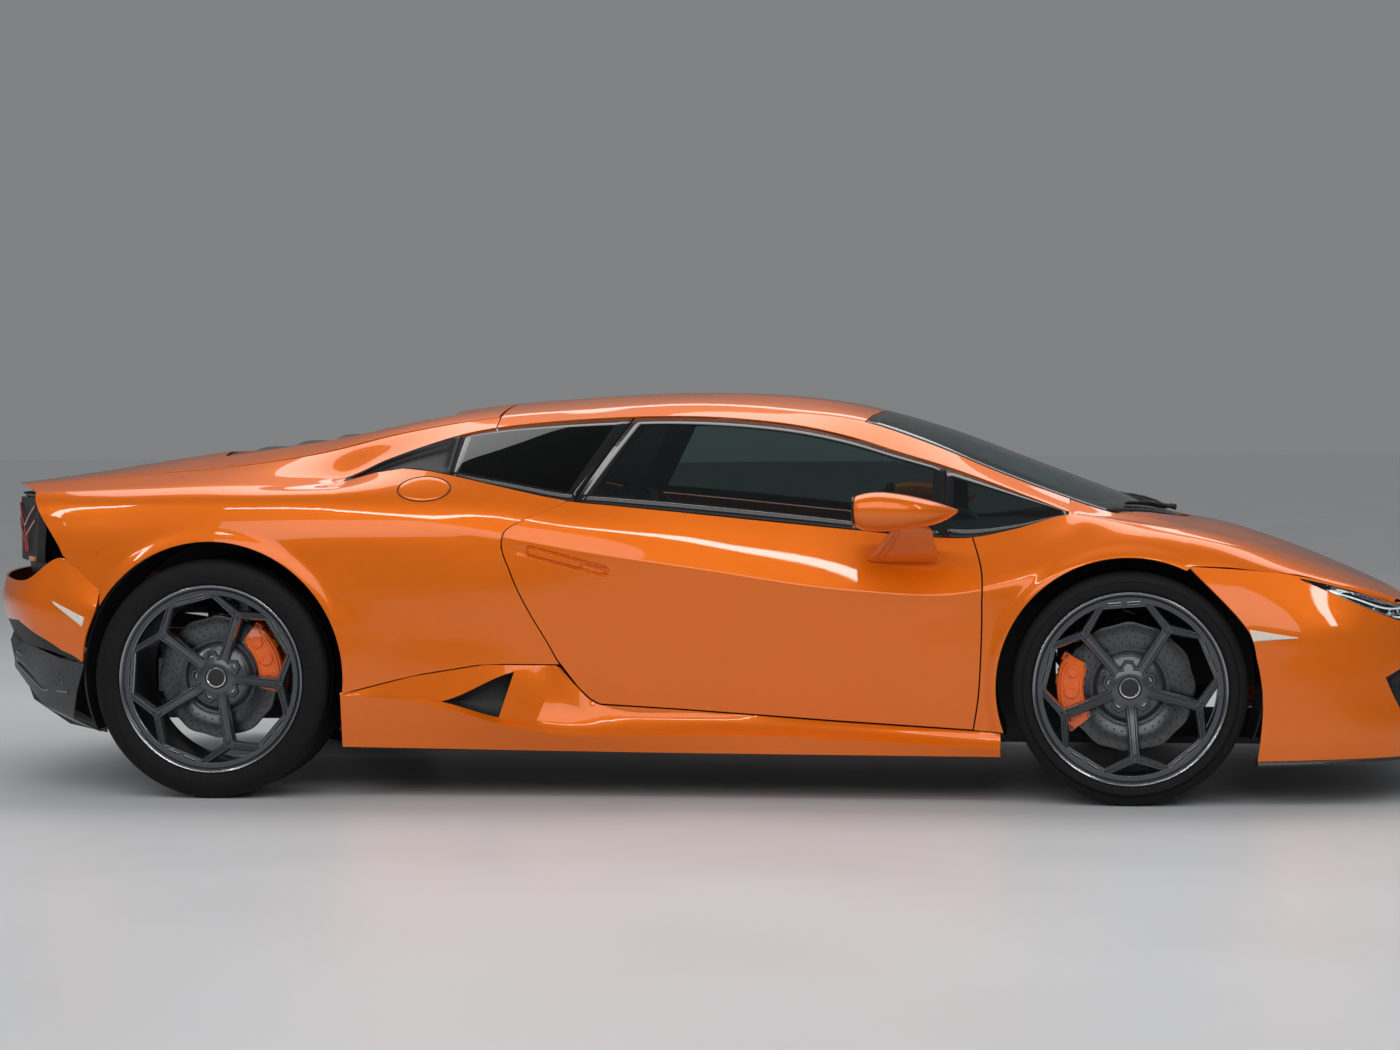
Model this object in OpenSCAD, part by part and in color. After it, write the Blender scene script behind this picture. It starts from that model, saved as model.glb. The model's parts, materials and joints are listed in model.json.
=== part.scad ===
// Two-seat mid-engined supercar. Millimetres, +X forward, +Y left, +Z up.
// The origin is on the ground at the middle of the car.

/* [Overall] */
// Distance between the front and rear axles
wheelbase = 2620; // [2500:10:2750]
// Height of the roof's middle above the ground
roof_h = 1168; // [1130:1:1210]
// Scale of every body width against the standard body
width_k = 1.0; // [0.95:0.01:1.05]

/* [Wheels] */
// Radius of the front tyres
tyre_rf = 327; // [310:1:335]
// Radius of the rear tyres
tyre_rr = 345; // [330:1:352]
// Width of the front tyres
tyre_wf = 245; // [205:5:255]
// Width of the rear tyres
tyre_wr = 305; // [265:5:315]
// Distance between the front wheels' centre planes
track_f = 1668; // [1640:2:1680]
// Distance between the rear wheels' centre planes
track_r = 1620; // [1600:2:1640]
// Radius of the rims over their flanges
rim_r = 270; // [245:1:275]
// Number of Y-shaped spokes
spokes = 5; // [4:1:7]
// Radius of the front brake discs
disc_rf = 183; // [160:1:190]
// Radius of the rear brake discs
disc_rr = 178; // [150:1:185]
// Radius of the stub axles that carry the wheels
axle_r = 20; // [15:1:25]

/* [Body] */
// Radius of the front wheel arches
arch_rf = 368; // [355:1:375]
// Radius of the rear wheel arches
arch_rr = 389; // [375:1:395]
// Thickness of the outer skins
skin_t = 8; // [6:1:12]
// Depth of a door from its skin to its lining
door_t = 95; // [70:5:110]
// Thickness of the glass
glass_t = 5; // [4:1:8]
// Gap round a panel that opens
shut_gap = 5; // [4:0.5:8]
// Gap between two fixed pieces
seat_gap = 0.4; // [0.2:0.1:0.8]

/* [Cabin] */
// Width of a seat
seat_w = 480; // [420:10:520]
// Radius of the steering wheel
steer_r = 178; // [160:1:190]

/* [Hidden] */
$fn = 48;

paint = "darkorange";
black = [0.05, 0.05, 0.06];
metal = [0.45, 0.46, 0.48];
dark_metal = [0.2, 0.21, 0.23];
glass = [0.15, 0.18, 0.18, 0.5];

// Axle stations. The body rows below were drawn for a wheelbase of 2620, and every station in
// them is stretched about the middle of the wheelbase to suit another one.
drawn_base = 2620;
mid_x = -90;
front_x = mid_x + wheelbase / 2;
rear_x = mid_x - wheelbase / 2;
base_k = wheelbase / drawn_base;
drawn_roof = 1168;
roof_k = roof_h / drawn_roof;
function sx(x) = mid_x + (x - mid_x) * base_k;
function ux(x) = mid_x + (x - mid_x) / base_k;

// Rows of the body's left half, from the sill up to the roof's middle. Each entry is a station
// of the row as [x, y, z]; a smooth curve runs through them.
rows = [
    [[-2230, 780, 180], [-1400, 905, 180], [-1021, 930, 180], [-600, 895, 180], [0, 862, 180],
        [400, 866, 180], [864, 898, 180], [1600, 925, 180], [2090, 720, 180]],
    [[-2230, 800, 330], [-1700, 930, 330], [-1400, 950, 330], [-1011, 946, 330], [-600, 912, 330],
        [-393, 882, 330], [0, 872, 330], [400, 876, 330], [847, 905, 330], [1220, 938, 330],
        [1600, 938, 330], [2090, 730, 330]],
    [[-2230, 810, 470], [-1850, 915, 470], [-1400, 958, 475], [-1050, 952, 475], [-700, 922, 472],
        [-471, 897, 465], [0, 884, 455], [400, 888, 440], [850, 913, 440], [1220, 948, 470],
        [1600, 940, 470], [2090, 720, 470]],
    [[-2230, 800, 600], [-1850, 905, 610], [-1400, 960, 640], [-1050, 952, 640], [-700, 926, 615],
        [-400, 903, 590], [0, 893, 565], [454, 898, 525], [800, 910, 525], [1000, 932, 570],
        [1220, 948, 610], [1450, 938, 590], [1700, 895, 560], [1950, 815, 520], [2090, 700, 480]],
    [[-2230, 770, 760], [-1950, 865, 780], [-1700, 912, 790], [-1400, 935, 800], [-1050, 934, 800],
        [-790, 918, 795], [-552, 905, 752], [-300, 902, 705], [0, 902, 660], [454, 906, 597],
        [750, 910, 590], [950, 918, 635], [1220, 930, 695], [1450, 916, 672], [1700, 872, 632],
        [1950, 812, 562], [2090, 690, 505]],
    [[-2230, 740, 850], [-1950, 845, 848], [-1700, 885, 852], [-1400, 902, 862], [-1050, 893, 870],
        [-790, 882, 858], [-552, 880, 812], [-300, 876, 772], [0, 868, 735], [454, 862, 684],
        [777, 862, 668], [950, 868, 705], [1220, 878, 752], [1450, 858, 728], [1700, 800, 662],
        [1950, 715, 580], [2090, 600, 522]],
    [[-2230, 715, 878], [-1950, 812, 880], [-1700, 838, 888], [-1400, 848, 898], [-1150, 815, 902],
        [-1052, 785, 908], [-950, 772, 935], [-867, 775, 947], [-750, 798, 932], [-630, 818, 906],
        [-521, 828, 882], [-397, 832, 855], [-241, 831, 838], [-63, 828, 820], [145, 822, 798],
        [450, 816, 767], [665, 812, 746], [777, 811, 745], [898, 804, 768], [1055, 778, 808],
        [1220, 812, 786], [1450, 790, 748], [1700, 725, 676], [1950, 620, 590], [2090, 500, 532]],
    [[-2230, 690, 886], [-1950, 775, 890], [-1700, 792, 902], [-1400, 788, 918], [-1150, 758, 922],
        [-1052, 738, 920], [-931, 690, 973], [-816, 655, 1016], [-701, 628, 1050],
        [-611, 612, 1066], [-471, 598, 1081], [-271, 590, 1093], [-73, 586, 1096],
        [124, 588, 1085], [280, 595, 1065], [436, 608, 1029], [548, 625, 993], [702, 655, 946],
        [857, 695, 891], [980, 735, 844], [1055, 764, 816], [1220, 758, 793], [1450, 735, 756],
        [1700, 660, 684], [1950, 545, 597], [2090, 430, 537]],
    [[-2230, 640, 890], [-2030, 685, 902], [-1700, 690, 928], [-1400, 668, 954],
        [-1174, 640, 986], [-905, 590, 1050], [-614, 542, 1096], [-400, 520, 1113],
        [0, 505, 1128], [250, 510, 1108], [459, 530, 1075], [646, 560, 1012], [857, 610, 925],
        [1010, 655, 867], [1165, 702, 815], [1300, 695, 789], [1500, 650, 742], [1700, 590, 688],
        [1900, 490, 614], [2090, 355, 540]],
    [[-2230, 350, 896], [-2030, 350, 920], [-1700, 350, 968], [-1400, 330, 1012],
        [-1049, 310, 1064], [-749, 290, 1120], [-455, 270, 1147], [-59, 265, 1163],
        [227, 270, 1151], [395, 275, 1129], [507, 285, 1103], [681, 300, 1050],
        [929, 325, 958], [1165, 350, 867], [1400, 350, 785], [1500, 335, 764], [1700, 305, 703],
        [1900, 255, 622], [2090, 190, 541]],
    [[-2230, 0, 896], [-2072, 0, 914], [-1741, 0, 965], [-1397, 0, 1016], [-1049, 0, 1069],
        [-749, 0, 1126], [-455, 0, 1152], [-59, 0, 1168], [227, 0, 1157], [395, 0, 1135],
        [507, 0, 1110], [681, 0, 1059], [929, 0, 965], [1165, 0, 875], [1400, 0, 789],
        [1500, 0, 772], [1700, 0, 711], [1900, 0, 630], [2090, 0, 542]]
];
// How sharp each row's edge is, from 0 for smooth to 1 for a full crease
crease = [0, 0, 0, 0, 0.75, 0, 0.3, 0.6, 0.5, 0.25, 0];
belt_row = 6;
rail_row = 7;
deck_row = 8;
top_row = 10;
far_deck_row = 12;
// Share of a row by which the fenders and quarters stop short of the deck's edge
edge_in = 0.04;

// Hinge axes
door_hinge_x = 865;
door_hinge_y = 885;
hinge_z1 = 520;
hinge_z2 = 585;
bonnet_axis_x = 1160;
bonnet_axis_z = 790;
cover_axis_x = -580;
cover_axis_z = 1100;
cover_gap = 14;
pin_r = 6;
pin_gap = 0.1;

// Steering column
steer_x = 430;
steer_y = 350;
steer_z = 715;
steer_tilt = 20;

// Fixed structure
tub_z = 125;
floor_z = 150;
frame_z = floor_z + seat_gap;
pipe_y = 300;
pipe_z = 370;
pipe_r = 40;
rail_y = 345;
rail_out = 400;
box_y = 530;
stud_r = 6;
lamp_front = 35;
lamp_back = 65;
liner_fy = 540;
liner_in = 4;
liner_out = 9;
liner_ry = 625;
front_z = tyre_rf;
rear_z = tyre_rr;
wheel_fy = track_f / 2;
wheel_ry = track_r / 2;

// Outlines in the side view
door_rear = [[272, -275], [288, -308], [333, -347], [384, -391], [448, -427], [523, -471],
    [645, -529], [748, -555], [765, -549], [848, -383], [900, -280]];
door_front = [[202, 783], [289, 797], [402, 805], [546, 809], [660, 806], [742, 782], [800, 760]];
sill_line = [[-1014, 303], [-811, 355], [-607, 387], [-404, 384], [-355, 333], [-312, 288],
    [-280, 270], [-46, 256], [389, 226], [783, 204], [870, 198]];
fender_front = [[1380, 668], [1499, 663], [1691, 640], [1830, 602], [1967, 556], [2100, 504]];
quarter_rear = [[590, -1732], [616, -1764], [651, -1790], [697, -1852], [708, -1857],
    [764, -1893], [815, -1930], [888, -1965], [905, -1968]];

arch_fx = front_x - 5;
arch_fz = 325;
arch_rx = rear_x;
arch_rz = 352;
// Stations where the roof panel ends, its pillars end and the side windows end
roof_rear_x = -622;
pillar_foot = 1000;
pillar_end = 1056;
// Gap between the windscreen and the bonnet
bonnet_gap = 28;
flare = 9;
flare_w = 34;

// ---------- curves ----------
function lerp(a, b, t) = a + (b - a) * t;
function clamp01(t) = min(1, max(0, t));
function smooth(t) = let (u = clamp01(t)) u * u * (3 - 2 * u);
function hermite(a, b, ma, mb, t) = let (t2 = t * t, t3 = t2 * t)
    a * (2 * t3 - 3 * t2 + 1) + ma * (t3 - 2 * t2 + t) + b * (3 * t2 - 2 * t3) + mb * (t3 - t2);
function span(k, x, i = 0) = i >= len(k) - 2 || x < k[i + 1][0] ? i : span(k, x, i + 1);
function rise(k, i, c) = (k[i + 1][c] - k[i][c]) / (k[i + 1][0] - k[i][0]);
// Slope of column c at knot i, weighted by the spans on its two sides
function slope(k, i, c) = i == 0 ? rise(k, 0, c) : i == len(k) - 1 ? rise(k, i - 1, c)
    : let (h0 = k[i][0] - k[i - 1][0], h1 = k[i + 1][0] - k[i][0])
        (rise(k, i - 1, c) * h1 + rise(k, i, c) * h0) / (h0 + h1);
// Column c of the curve through the knots k at x
function on(k, x, c = 1) = let (i = span(k, x), h = k[i + 1][0] - k[i][0],
    t = min(1, max(0, (x - k[i][0]) / h)))
    hermite(k[i][c], k[i + 1][c], slope(k, i, c) * h, slope(k, i + 1, c) * h, t);
// The same through straight pieces
function straight(k, x) = let (i = span(k, x))
    lerp(k[i][1], k[i + 1][1], clamp01((x - k[i][0]) / (k[i + 1][0] - k[i][0])));

// ---------- body surface ----------
// The section at station x as one [y, z] a row
function section(x) = let (u = ux(x))
    [for (r = rows) [on(r, u, 1) * width_k, on(r, u, 2) * (on(r, u, 2) > 700 ? lerp(1, roof_k,
        smooth((on(r, u, 2) - 700) / 468)) : 1)]];
function unit2(v) = v / max(0.001, norm(v));
// Direction of the section at row i, on the side towards row i + side
function heading(s, i, side) = i == 0 ? unit2(s[1] - s[0]) : i == top_row ? [-1, 0]
    : let (a = s[i] - s[i - 1], b = s[i + 1] - s[i], da = norm(a), db = norm(b),
        even = unit2((a / da * db + b / db * da) / (da + db)))
        lerp(even, side > 0 ? b / db : a / da, crease[i]);
function on_section(s, v) = let (i = min(top_row - 1, floor(v)), t = v - i,
    l = norm(s[i + 1] - s[i]))
    hermite(s[i], s[i + 1], heading(s, i, 1) * l, heading(s, i + 1, -1) * l, t);
// Row number at which the section reaches height z
function row_at(s, z, lo = 0, hi = 8, n = 16) = n == 0 ? (lo + hi) / 2
    : let (m = (lo + hi) / 2) on_section(s, m)[1] < z ? row_at(s, z, m, hi, n - 1)
        : row_at(s, z, lo, m, n - 1);
// Outward swelling of the skin round a wheel arch
function swell(x, z, cx, cz, r) = let (d = norm([x - cx, z - cz]) - r)
    flare * (1 - smooth((d - 4) / flare_w));
// A point of the skin. Rows 0 to 10 are the left half, and 10 to 20 mirror them.
function skin(x, v) = v > top_row ? let (p = skin(x, 2 * top_row - v)) [p[0], -p[1], p[2]]
    : let (q = on_section(section(x), v), out = v < belt_row
        ? max(swell(x, q[1], arch_fx, arch_fz, arch_rf), swell(x, q[1], arch_rx, arch_rz, arch_rr))
            * (1 - smooth((v - 5) / 1)) : 0) [x, q[0] + out, q[1]];
function at_height(x, z) = row_at(section(x), z);
function arch_z(x, cx, cz, r) = cz + sqrt(max(0, r * r - (x - cx) * (x - cx)));

// ---------- panels ----------
// The x at which a side edge f crosses share w of a panel's height
function edge_x(f, x, lo, hi, w, n = 5) = n == 0 ? x
    : edge_x(f, f(skin(x, lerp(lo(x), hi(x), w))), lo, hi, w, n - 1);
// Grid of skin points between the side edges fa and fb and the rows lo(x) and hi(x)
function patch(fa, fb, xa, xb, lo, hi, cols, ws) = [for (w = ws)
    let (a = edge_x(fa, xa, lo, hi, w), b = edge_x(fb, xb, lo, hi, w))
    [for (s = cols) let (x = lerp(a, b, s)) skin(x, lerp(lo(x), hi(x), w))]];
function steps(n) = [for (i = [0:n]) i / n];
function unit(v) = v / max(0.0001, norm(v));
// The grid moved t inward along its own normals
function inward(g, t) = let (nr = len(g) - 1, nc = len(g[0]) - 1) [for (i = [0:nr]) [for (j = [0:nc])
    let (du = g[i][min(nc, j + 1)] - g[i][max(0, j - 1)],
        dv = g[min(nr, i + 1)][j] - g[max(0, i - 1)][j]) g[i][j] + t * unit(cross(du, dv))]];
// The closed solid between an outer and an inner grid. keep(i, j) says which cells it has.
module solid(g, h, keep = function (i, j) true) {
    nr = len(g);
    nc = len(g[0]);
    off = nr * nc;
    has = function (i, j) i >= 0 && j >= 0 && i < nr - 1 && j < nc - 1 && keep(i, j);
    wall = function (a, b) [[b, a, a + off], [b, a + off, b + off]];
    polyhedron([for (r = g) each r, for (r = h) each r], [for (i = [0:nr - 2], j = [0:nc - 2])
        if (keep(i, j)) let (a = i * nc + j, b = a + 1, c = b + nc, d = a + nc)
        each concat([[a, b, c], [a, c, d], [a + off, c + off, b + off], [a + off, d + off, c + off]],
            has(i - 1, j) ? [] : wall(a, b), has(i, j + 1) ? [] : wall(b, c),
            has(i + 1, j) ? [] : wall(c, d), has(i, j - 1) ? [] : wall(d, a))], convexity = 6);
}
module both() {
    children();
    mirror([0, 1, 0]) children();
}
module side(s) {
    if (s > 0) children();
    else mirror([0, 1, 0]) children();
}
function fixed(r) = function (x) r;
function line_x(k, gap = 0) = function (p) sx(on(k, p[2])) + gap;
function line_row(k, gap = 0) = function (x) at_height(x, straight(k, ux(x)) + gap);

// A panel above a wheel arch with a leg down to the sill on the door's side. dir is 1 where the
// panel runs forward from the door and -1 where it runs back.
leg_rows = 3;
leg_cols = 3;
quarter_cols = 16;
function arch_grid(dir, door, far, far_x, low, split, cx, cz, r, top, arch_cols, up_rows) = let (
    x_split = cx - dir * sqrt(r * r - (split - cz) * (split - cz)),
    door_x0 = x_split - dir * 60,
    foot = function (x) at_height(x, max(split, low(x), dir * (x - x_split) <= 0 ? 0
        : arch_z(x, cx, cz, r))),
    arch_side = function (p) cx - dir * sqrt(r * r - pow(min(p[2], split) - cz, 2)),
    top_of_leg = function (x) at_height(x, split),
    sill = function (x) at_height(x, low(x)),
    leg = [for (i = [0:leg_rows - 1]) let (w = i / leg_rows,
        xd = edge_x(door, door_x0, sill, top_of_leg, w),
        xa = edge_x(arch_side, x_split, sill, top_of_leg, w))
        [for (j = [0:leg_cols + arch_cols]) let (x = lerp(xd, xa, min(1, j / leg_cols)))
            skin(x, lerp(sill(x), top_of_leg(x), w))]],
    upper = [for (i = [0:up_rows]) let (w = i / up_rows,
        xd = edge_x(door, door_x0, foot, top, w), xf = edge_x(far, far_x, foot, top, w))
        [for (j = [0:leg_cols + arch_cols]) let (x = j <= leg_cols ? lerp(xd, x_split, j / leg_cols)
            : lerp(x_split, xf, (1 - cos(90 * (j - leg_cols) / arch_cols)) * 0.35
                + 0.65 * (j - leg_cols) / arch_cols))
            skin(x, lerp(foot(x), top(x), w))]])
    concat(leg, upper);
function flip(g) = [for (r = g) [for (j = [len(r) - 1:-1:0]) r[j]]];

// ---------- outer panels ----------
fender_split = 470;
quarter_split = 480;
module front_fender() color(paint) {
    g = arch_grid(1, line_x(door_front, shut_gap), function (p) front_edge(p[1]) - 1.8, 2050,
        function (x) max(x > arch_fx + arch_rf * 0.45 ? straight(fender_front, ux(x)) + 1.6 : 0,
            straight(sill_line, ux(x)) + seat_gap + 1.2), fender_split, arch_fx, arch_fz, arch_rf,
        function (x) x < sx(pillar_end) ? belt_row : deck_row - edge_in, 18, 7);
    solid(g, inward(g, skin_t), function (i, j) i >= leg_rows || j < leg_cols);
    fender_tab();
}
// The strut that stands on the wheel liner's crown and carries the fender
module fender_tab() {
    foot_z = arch_fz + arch_rf + liner_out + seat_gap;
    translate([arch_fx - 12, 845, foot_z]) cube([24, 10, 762 - foot_z]);
}
module rear_quarter() color(paint) {
    lower = flip(arch_grid(-1, line_x(door_rear, -shut_gap), line_x(quarter_rear, 0), -1900,
        function (x) straight(sill_line, min(ux(x), sill_line[3][0])) + 2.2,
        quarter_split, arch_rx, arch_rz, arch_rr,
        function (x) belt_row, quarter_cols, 7));
    solid(lower, inward(lower, skin_t), function (i, j) i >= leg_rows || j >= quarter_cols);
    strip = patch(function (p) tail_edge(p[1]) + 2, function (p) sx(roof_rear_x) - seat_gap, -2000, -620,
        function (x) belt_row + (x < sx(-1052) ? 0.002 : 0.96),
        fixed(deck_row - edge_in), steps(20), steps(3));
    solid(strip, inward(strip, skin_t));
}
function front_edge(y) = sx(2090) - 110 * pow(y / 730, 2);
function tail_edge(y) = sx(-2225) + 258 * pow(y / 800, 2);
function cowl_x(y) = sx(1400) - 235 * pow(y / 700, 2);
function header_x(y) = sx(507) - 48 * pow(y / 530, 2);

module roof() color(paint) {
    g = [for (i = [0:12]) let (v = [7.03, 7.5, 8, 8.5, 9, 9.5, 10, 10.5, 11, 11.5, 12, 12.5, 12.97][i])
        let (a = sx(roof_rear_x), b = edge_x(function (p) header_x(p[1]), 500, fixed(v), fixed(v), 0),
            c = edge_x(function (p) cowl_x(p[1]), 1200, fixed(v), fixed(v), 0))
        [for (s = steps(8)) skin(lerp(a, b, s), v), for (s = steps(6)) if (s > 0)
            skin(lerp(b, min(c, sx(pillar_foot)), s), v)]];
    solid(g, inward(g, 22), function (i, j) j < 8 || i < 2 || i > 9);
    both() translate([sx(cover_axis_x), 0, cover_axis_z]) {
        translate([0, 182, 0]) rotate([-90, 0, 0]) cylinder(r = pin_r, h = 28);
        translate([-10, 178, -8]) cube([20, 8, 32]);
    }
}
module windshield() color(glass) {
    g = [for (v = [8.02, 8.4, 8.8, 9.2, 9.6, 10, 10.4, 10.8, 11.2, 11.6, 11.98])
        let (b = edge_x(function (p) header_x(p[1]) + 1, 500, fixed(v), fixed(v), 0),
            c = edge_x(function (p) cowl_x(p[1]), 1200, fixed(v), fixed(v), 0))
        [for (s = steps(8)) skin(lerp(b, c, s), v)]];
    h = inward(g, 1.5);
    solid(h, inward(h, glass_t));
}
module bonnet() color(paint) {
    g = patch(function (p) cowl_x(p[1]) + bonnet_gap, function (p) front_edge(p[1]) - shut_gap,
        1300, 2000, fixed(deck_row + 0.03), fixed(far_deck_row - 0.03), steps(10), steps(12));
    solid(g, inward(g, 14));
    both() bonnet_hinge_arm();
}
module engine_cover() color(paint) {
    g = patch(function (p) tail_edge(p[1]) + shut_gap, function (p) sx(roof_rear_x) - cover_gap,
        -2000, -700, fixed(deck_row + 0.03), fixed(far_deck_row - 0.03), steps(15), steps(12));
    solid(g, inward(g, 14), function (i, j) !(i >= 3 && i <= 8 && (j == 11 || j == 9 || j == 7)));
    both() cover_hinge_lug();
}
module door() color(paint) {
    lo = line_row(sill_line, shut_gap + 3);
    g = patch(line_x(door_rear, shut_gap * 1.2), line_x(door_front, -shut_gap / 2), -400, 790, lo,
        fixed(belt_row - 0.004), steps(14), steps(8));
    h = [for (i = [0:8]) [for (j = [0:14]) let (s = j / 14, w = i / 8, p = g[i][j])
        [p[0] + lerp(45, -78, s), p[1] - lerp(door_t, 70, w), p[2] + lerp(18, -4, w)]]];
    solid(g, h);
    door_hinge_arm(hinge_z1);
    door_hinge_arm(hinge_z2);
}
b_pillar_low = -372;
b_pillar_high = -215;
divider_x = 700;
function pillar_x(p) = lerp(b_pillar_low, b_pillar_high, (p[2] - 830) / 260);
module door_window() color(glass) {
    g = patch(function (p) sx(pillar_x(p)) + 5, function (p) sx(divider_x), -300, 690,
        fixed(belt_row + 0.018), fixed(rail_row - 0.08), steps(10), steps(4));
    h = inward(g, 2);
    solid(h, inward(h, glass_t));
}
module quarter_windows() both() {
    front = patch(function (p) sx(divider_x) + 8, function (p) sx(pillar_foot), 710, 1000,
        fixed(belt_row + 0.05), fixed(rail_row - 0.03), steps(5), steps(3));
    hf = inward(front, 2);
    solid(hf, inward(hf, glass_t));
    back = patch(function (p) sx(-880), function (p) sx(pillar_x(p)) - 5, -880, -320,
        fixed(belt_row + 0.05), fixed(rail_row - 0.05), steps(8), steps(3));
    hb = inward(back, 2);
    solid(hb, inward(hb, glass_t));
}

module fixed_windows() color(glass) {
    quarter_windows();
    translate([sx(-636), 0, 0]) rotate([90, 0, 90]) linear_extrude(glass_t)
        polygon([[-520, 850.4], [520, 850.4], [430, 1038], [-430, 1038]]);
}

// ---------- sills ----------
skirt_rows = [
    [[-1020, 770, 150], [0, 770, 137], [864, 770, 133]],
    [[-1032, 925, 150], [-216, 902, 138], [864, 918, 133]],
    [[-1009, 950, 300], [-823, 951, 285], [-700, 949, 260], [-568, 942, 222], [-406, 930, 192],
        [-211, 921, 184], [0, 916, 190], [862, 928, 156]],
    [[-1009, 949, 303], [-725, 936, 281], [-566, 915, 236], [-400, 902, 224], [-217, 892, 212],
        [0, 888, 210], [862, 905, 182]],
    [[-1009, 948, 305], [-725, 934, 284], [-522, 906, 366], [-430, 890, 378], [-393, 884, 372],
        [-347, 880, 322], [-304, 876, 280], [-270, 873, 266], [0, 866, 247], [862, 903, 192]]
];
module side_skirts() color(paint) both() {
    g = [for (k = [0:5]) [for (j = [0:20]) let (
        tip = k <= 3 ? -566 : -522,
        x = j <= 4 ? lerp(-1020, -725, j / 4) : j <= 8 ? lerp(-725, tip, (j - 4) / 4)
            : j <= 10 ? lerp(tip, -404, (j - 8) / 2) : j <= 14 ? lerp(-404, -280, (j - 10) / 4)
            : lerp(-280, 860, pow((j - 14) / 6, 1.1)))
        k < 5 ? [sx(x), on(skirt_rows[k], x, 1) * width_k, on(skirt_rows[k], x, 2)]
            : let (p = skin(sx(x), at_height(sx(x), straight(sill_line, x) - seat_gap))) p]];
    solid(g, skirt_inner(g), function (i, j) !(i == 3 && j >= 4 && j < 8));
}
function skirt_inner(g) = [for (i = [0:5]) [for (p = g[i])
    i == 0 ? [p[0], p[1], p[2] + 6] : [p[0], p[1] - 14, p[2] + (i == 1 ? 6 : i == 5 ? -1 : 0)]]];

// ---------- bumpers ----------
// Rows of the front bumper's left half from the middle round to the wheel arch
nose = [
    [[2200, 0, 128], [2190, 250, 128], [2145, 480, 128], [2080, 650, 130], [1990, 800, 132],
        [1865, 888, 132], [1720, 925, 130], [1569, 935, 126]],
    [[2215, 0, 200], [2205, 250, 200], [2160, 480, 200], [2095, 650, 200], [2005, 800, 200],
        [1875, 895, 200], [1725, 935, 200], [1578, 944, 200]],
    [[2208, 0, 300], [2198, 250, 300], [2155, 480, 300], [2088, 650, 300], [2000, 795, 300],
        [1875, 890, 300], [1725, 937, 300], [1583, 948, 300]],
    [[2222, 0, 400], [2208, 250, 400], [2163, 480, 402], [2095, 650, 405], [2008, 785, 408],
        [1880, 882, 410], [1725, 934, 410], [1568, 950, 405]],
    [[2229, 0, 468], [2214, 250, 470], [2165, 480, 474], [2095, 650, 480], [2010, 775, 488],
        [1880, 870, 498], [1720, 925, 505], [1533, 955, 505]]
];
nose_top_x = [2090, 2077, 2042, 1990, 1940, 1830, 1640, 1381];
nose_top_y = [0, 250, 480, 640, 780];
// Points of the bumper's top row: along the bonnet's edge, then along the fender's
function nose_top(k) = k < 4 ? let (x = front_edge(nose_top_y[k]), s = section(x))
    [x, nose_top_y[k], height_at_y(s, nose_top_y[k])]
    : let (x = sx(nose_top_x[k])) skin(x, at_height(x, straight(fender_front, ux(x))));
function height_at_y(s, y, lo = 4, hi = 10, n = 16) = n == 0 ? on_section(s, (lo + hi) / 2)[1]
    : let (m = (lo + hi) / 2) on_section(s, m)[0] > y ? height_at_y(s, y, m, hi, n - 1)
        : height_at_y(s, y, lo, m, n - 1);
// A smooth curve through 3D points with one span to each pair
function through(pts, u) = let (n = len(pts) - 1, i = min(n - 1, floor(u)), t = u - i,
    a = pts[max(0, i - 1)], b = pts[i], c = pts[i + 1], d = pts[min(n, i + 2)])
    hermite(b, c, i == 0 ? c - b : (c - a) / 2, i == n - 1 ? c - b : (d - b) / 2, t);
function wide(p) = [sx(p[0]), p[1] * width_k, p[2]];
function nose_rows() = [for (r = nose) [for (p = r) wide(p)],
    [for (k = [0:7]) nose_top(k)]];
// The bumper's outer grid, from the car's left round to its right
function bumper_grid() = let (rows_3d = nose_rows(),
    half = [for (w = [0, 1, 1.5, 2, 3, 3.5, 4, 4.5, 5]) [for (u = [0:0.5:7])
        through([for (r = rows_3d) through(r, u)], w)]])
    [for (r = half) concat([for (j = [len(r) - 1:-1:0]) r[j]],
        [for (j = [1:len(r) - 1]) [r[j][0], -r[j][1], r[j][2]]])];
// True in the openings of the lower intakes and of the headlights
function in_intake(i, m) = (i >= 1 && i <= 3 && m >= 4 && m < 8) || (i == 1 && m < 3);
function in_lamp(i, m) = i >= 6 && m >= 6 && m < 10;
module front_bumper() color(paint) {
    g = bumper_grid();
    solid(g, inward(g, skin_t), function (i, j) let (m = j < 14 ? 13 - j : j - 14)
        !in_intake(i, m) && !in_lamp(i, m));
}
// The part of a grid from row i0 to i1 and column j0 to j1, drawn in by share e of a cell
function part_of(g, i0, i1, j0, j1, e) = [for (i = [i0:i1]) [for (j = [j0:j1]) let (
    k = i == i0 ? i + 1 : i == i1 ? i - 1 : i, l = j == j0 ? j + 1 : j == j1 ? j - 1 : j,
    a = lerp(g[i][j], g[k][j], e), b = lerp(g[i][l], g[k][l], e)) lerp(a, b, e)]];
tail = [
    [[-2150, 0, 430], [-2140, 300, 430], [-2105, 550, 430], [-2040, 720, 430], [-1935, 850, 425],
        [-1835, 900, 400], [-1790, 925, 385]],
    [[-2180, 0, 480], [-2168, 300, 480], [-2130, 550, 480], [-2065, 725, 480], [-1960, 860, 478],
        [-1850, 912, 470], [-1775, 940, 462]],
    [[-2212, 0, 560], [-2200, 300, 560], [-2158, 550, 560], [-2088, 730, 560], [-1985, 868, 558],
        [-1870, 915, 550], [-1742, 950, 542]],
    [[-2190, 0, 640], [-2180, 300, 640], [-2140, 550, 636], [-2080, 725, 628], [-1990, 850, 628],
        [-1890, 890, 655], [-1731, 945, 590]]
];
function tail_rows() = [for (r = tail) [for (p = r) wide(p)]];
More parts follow.
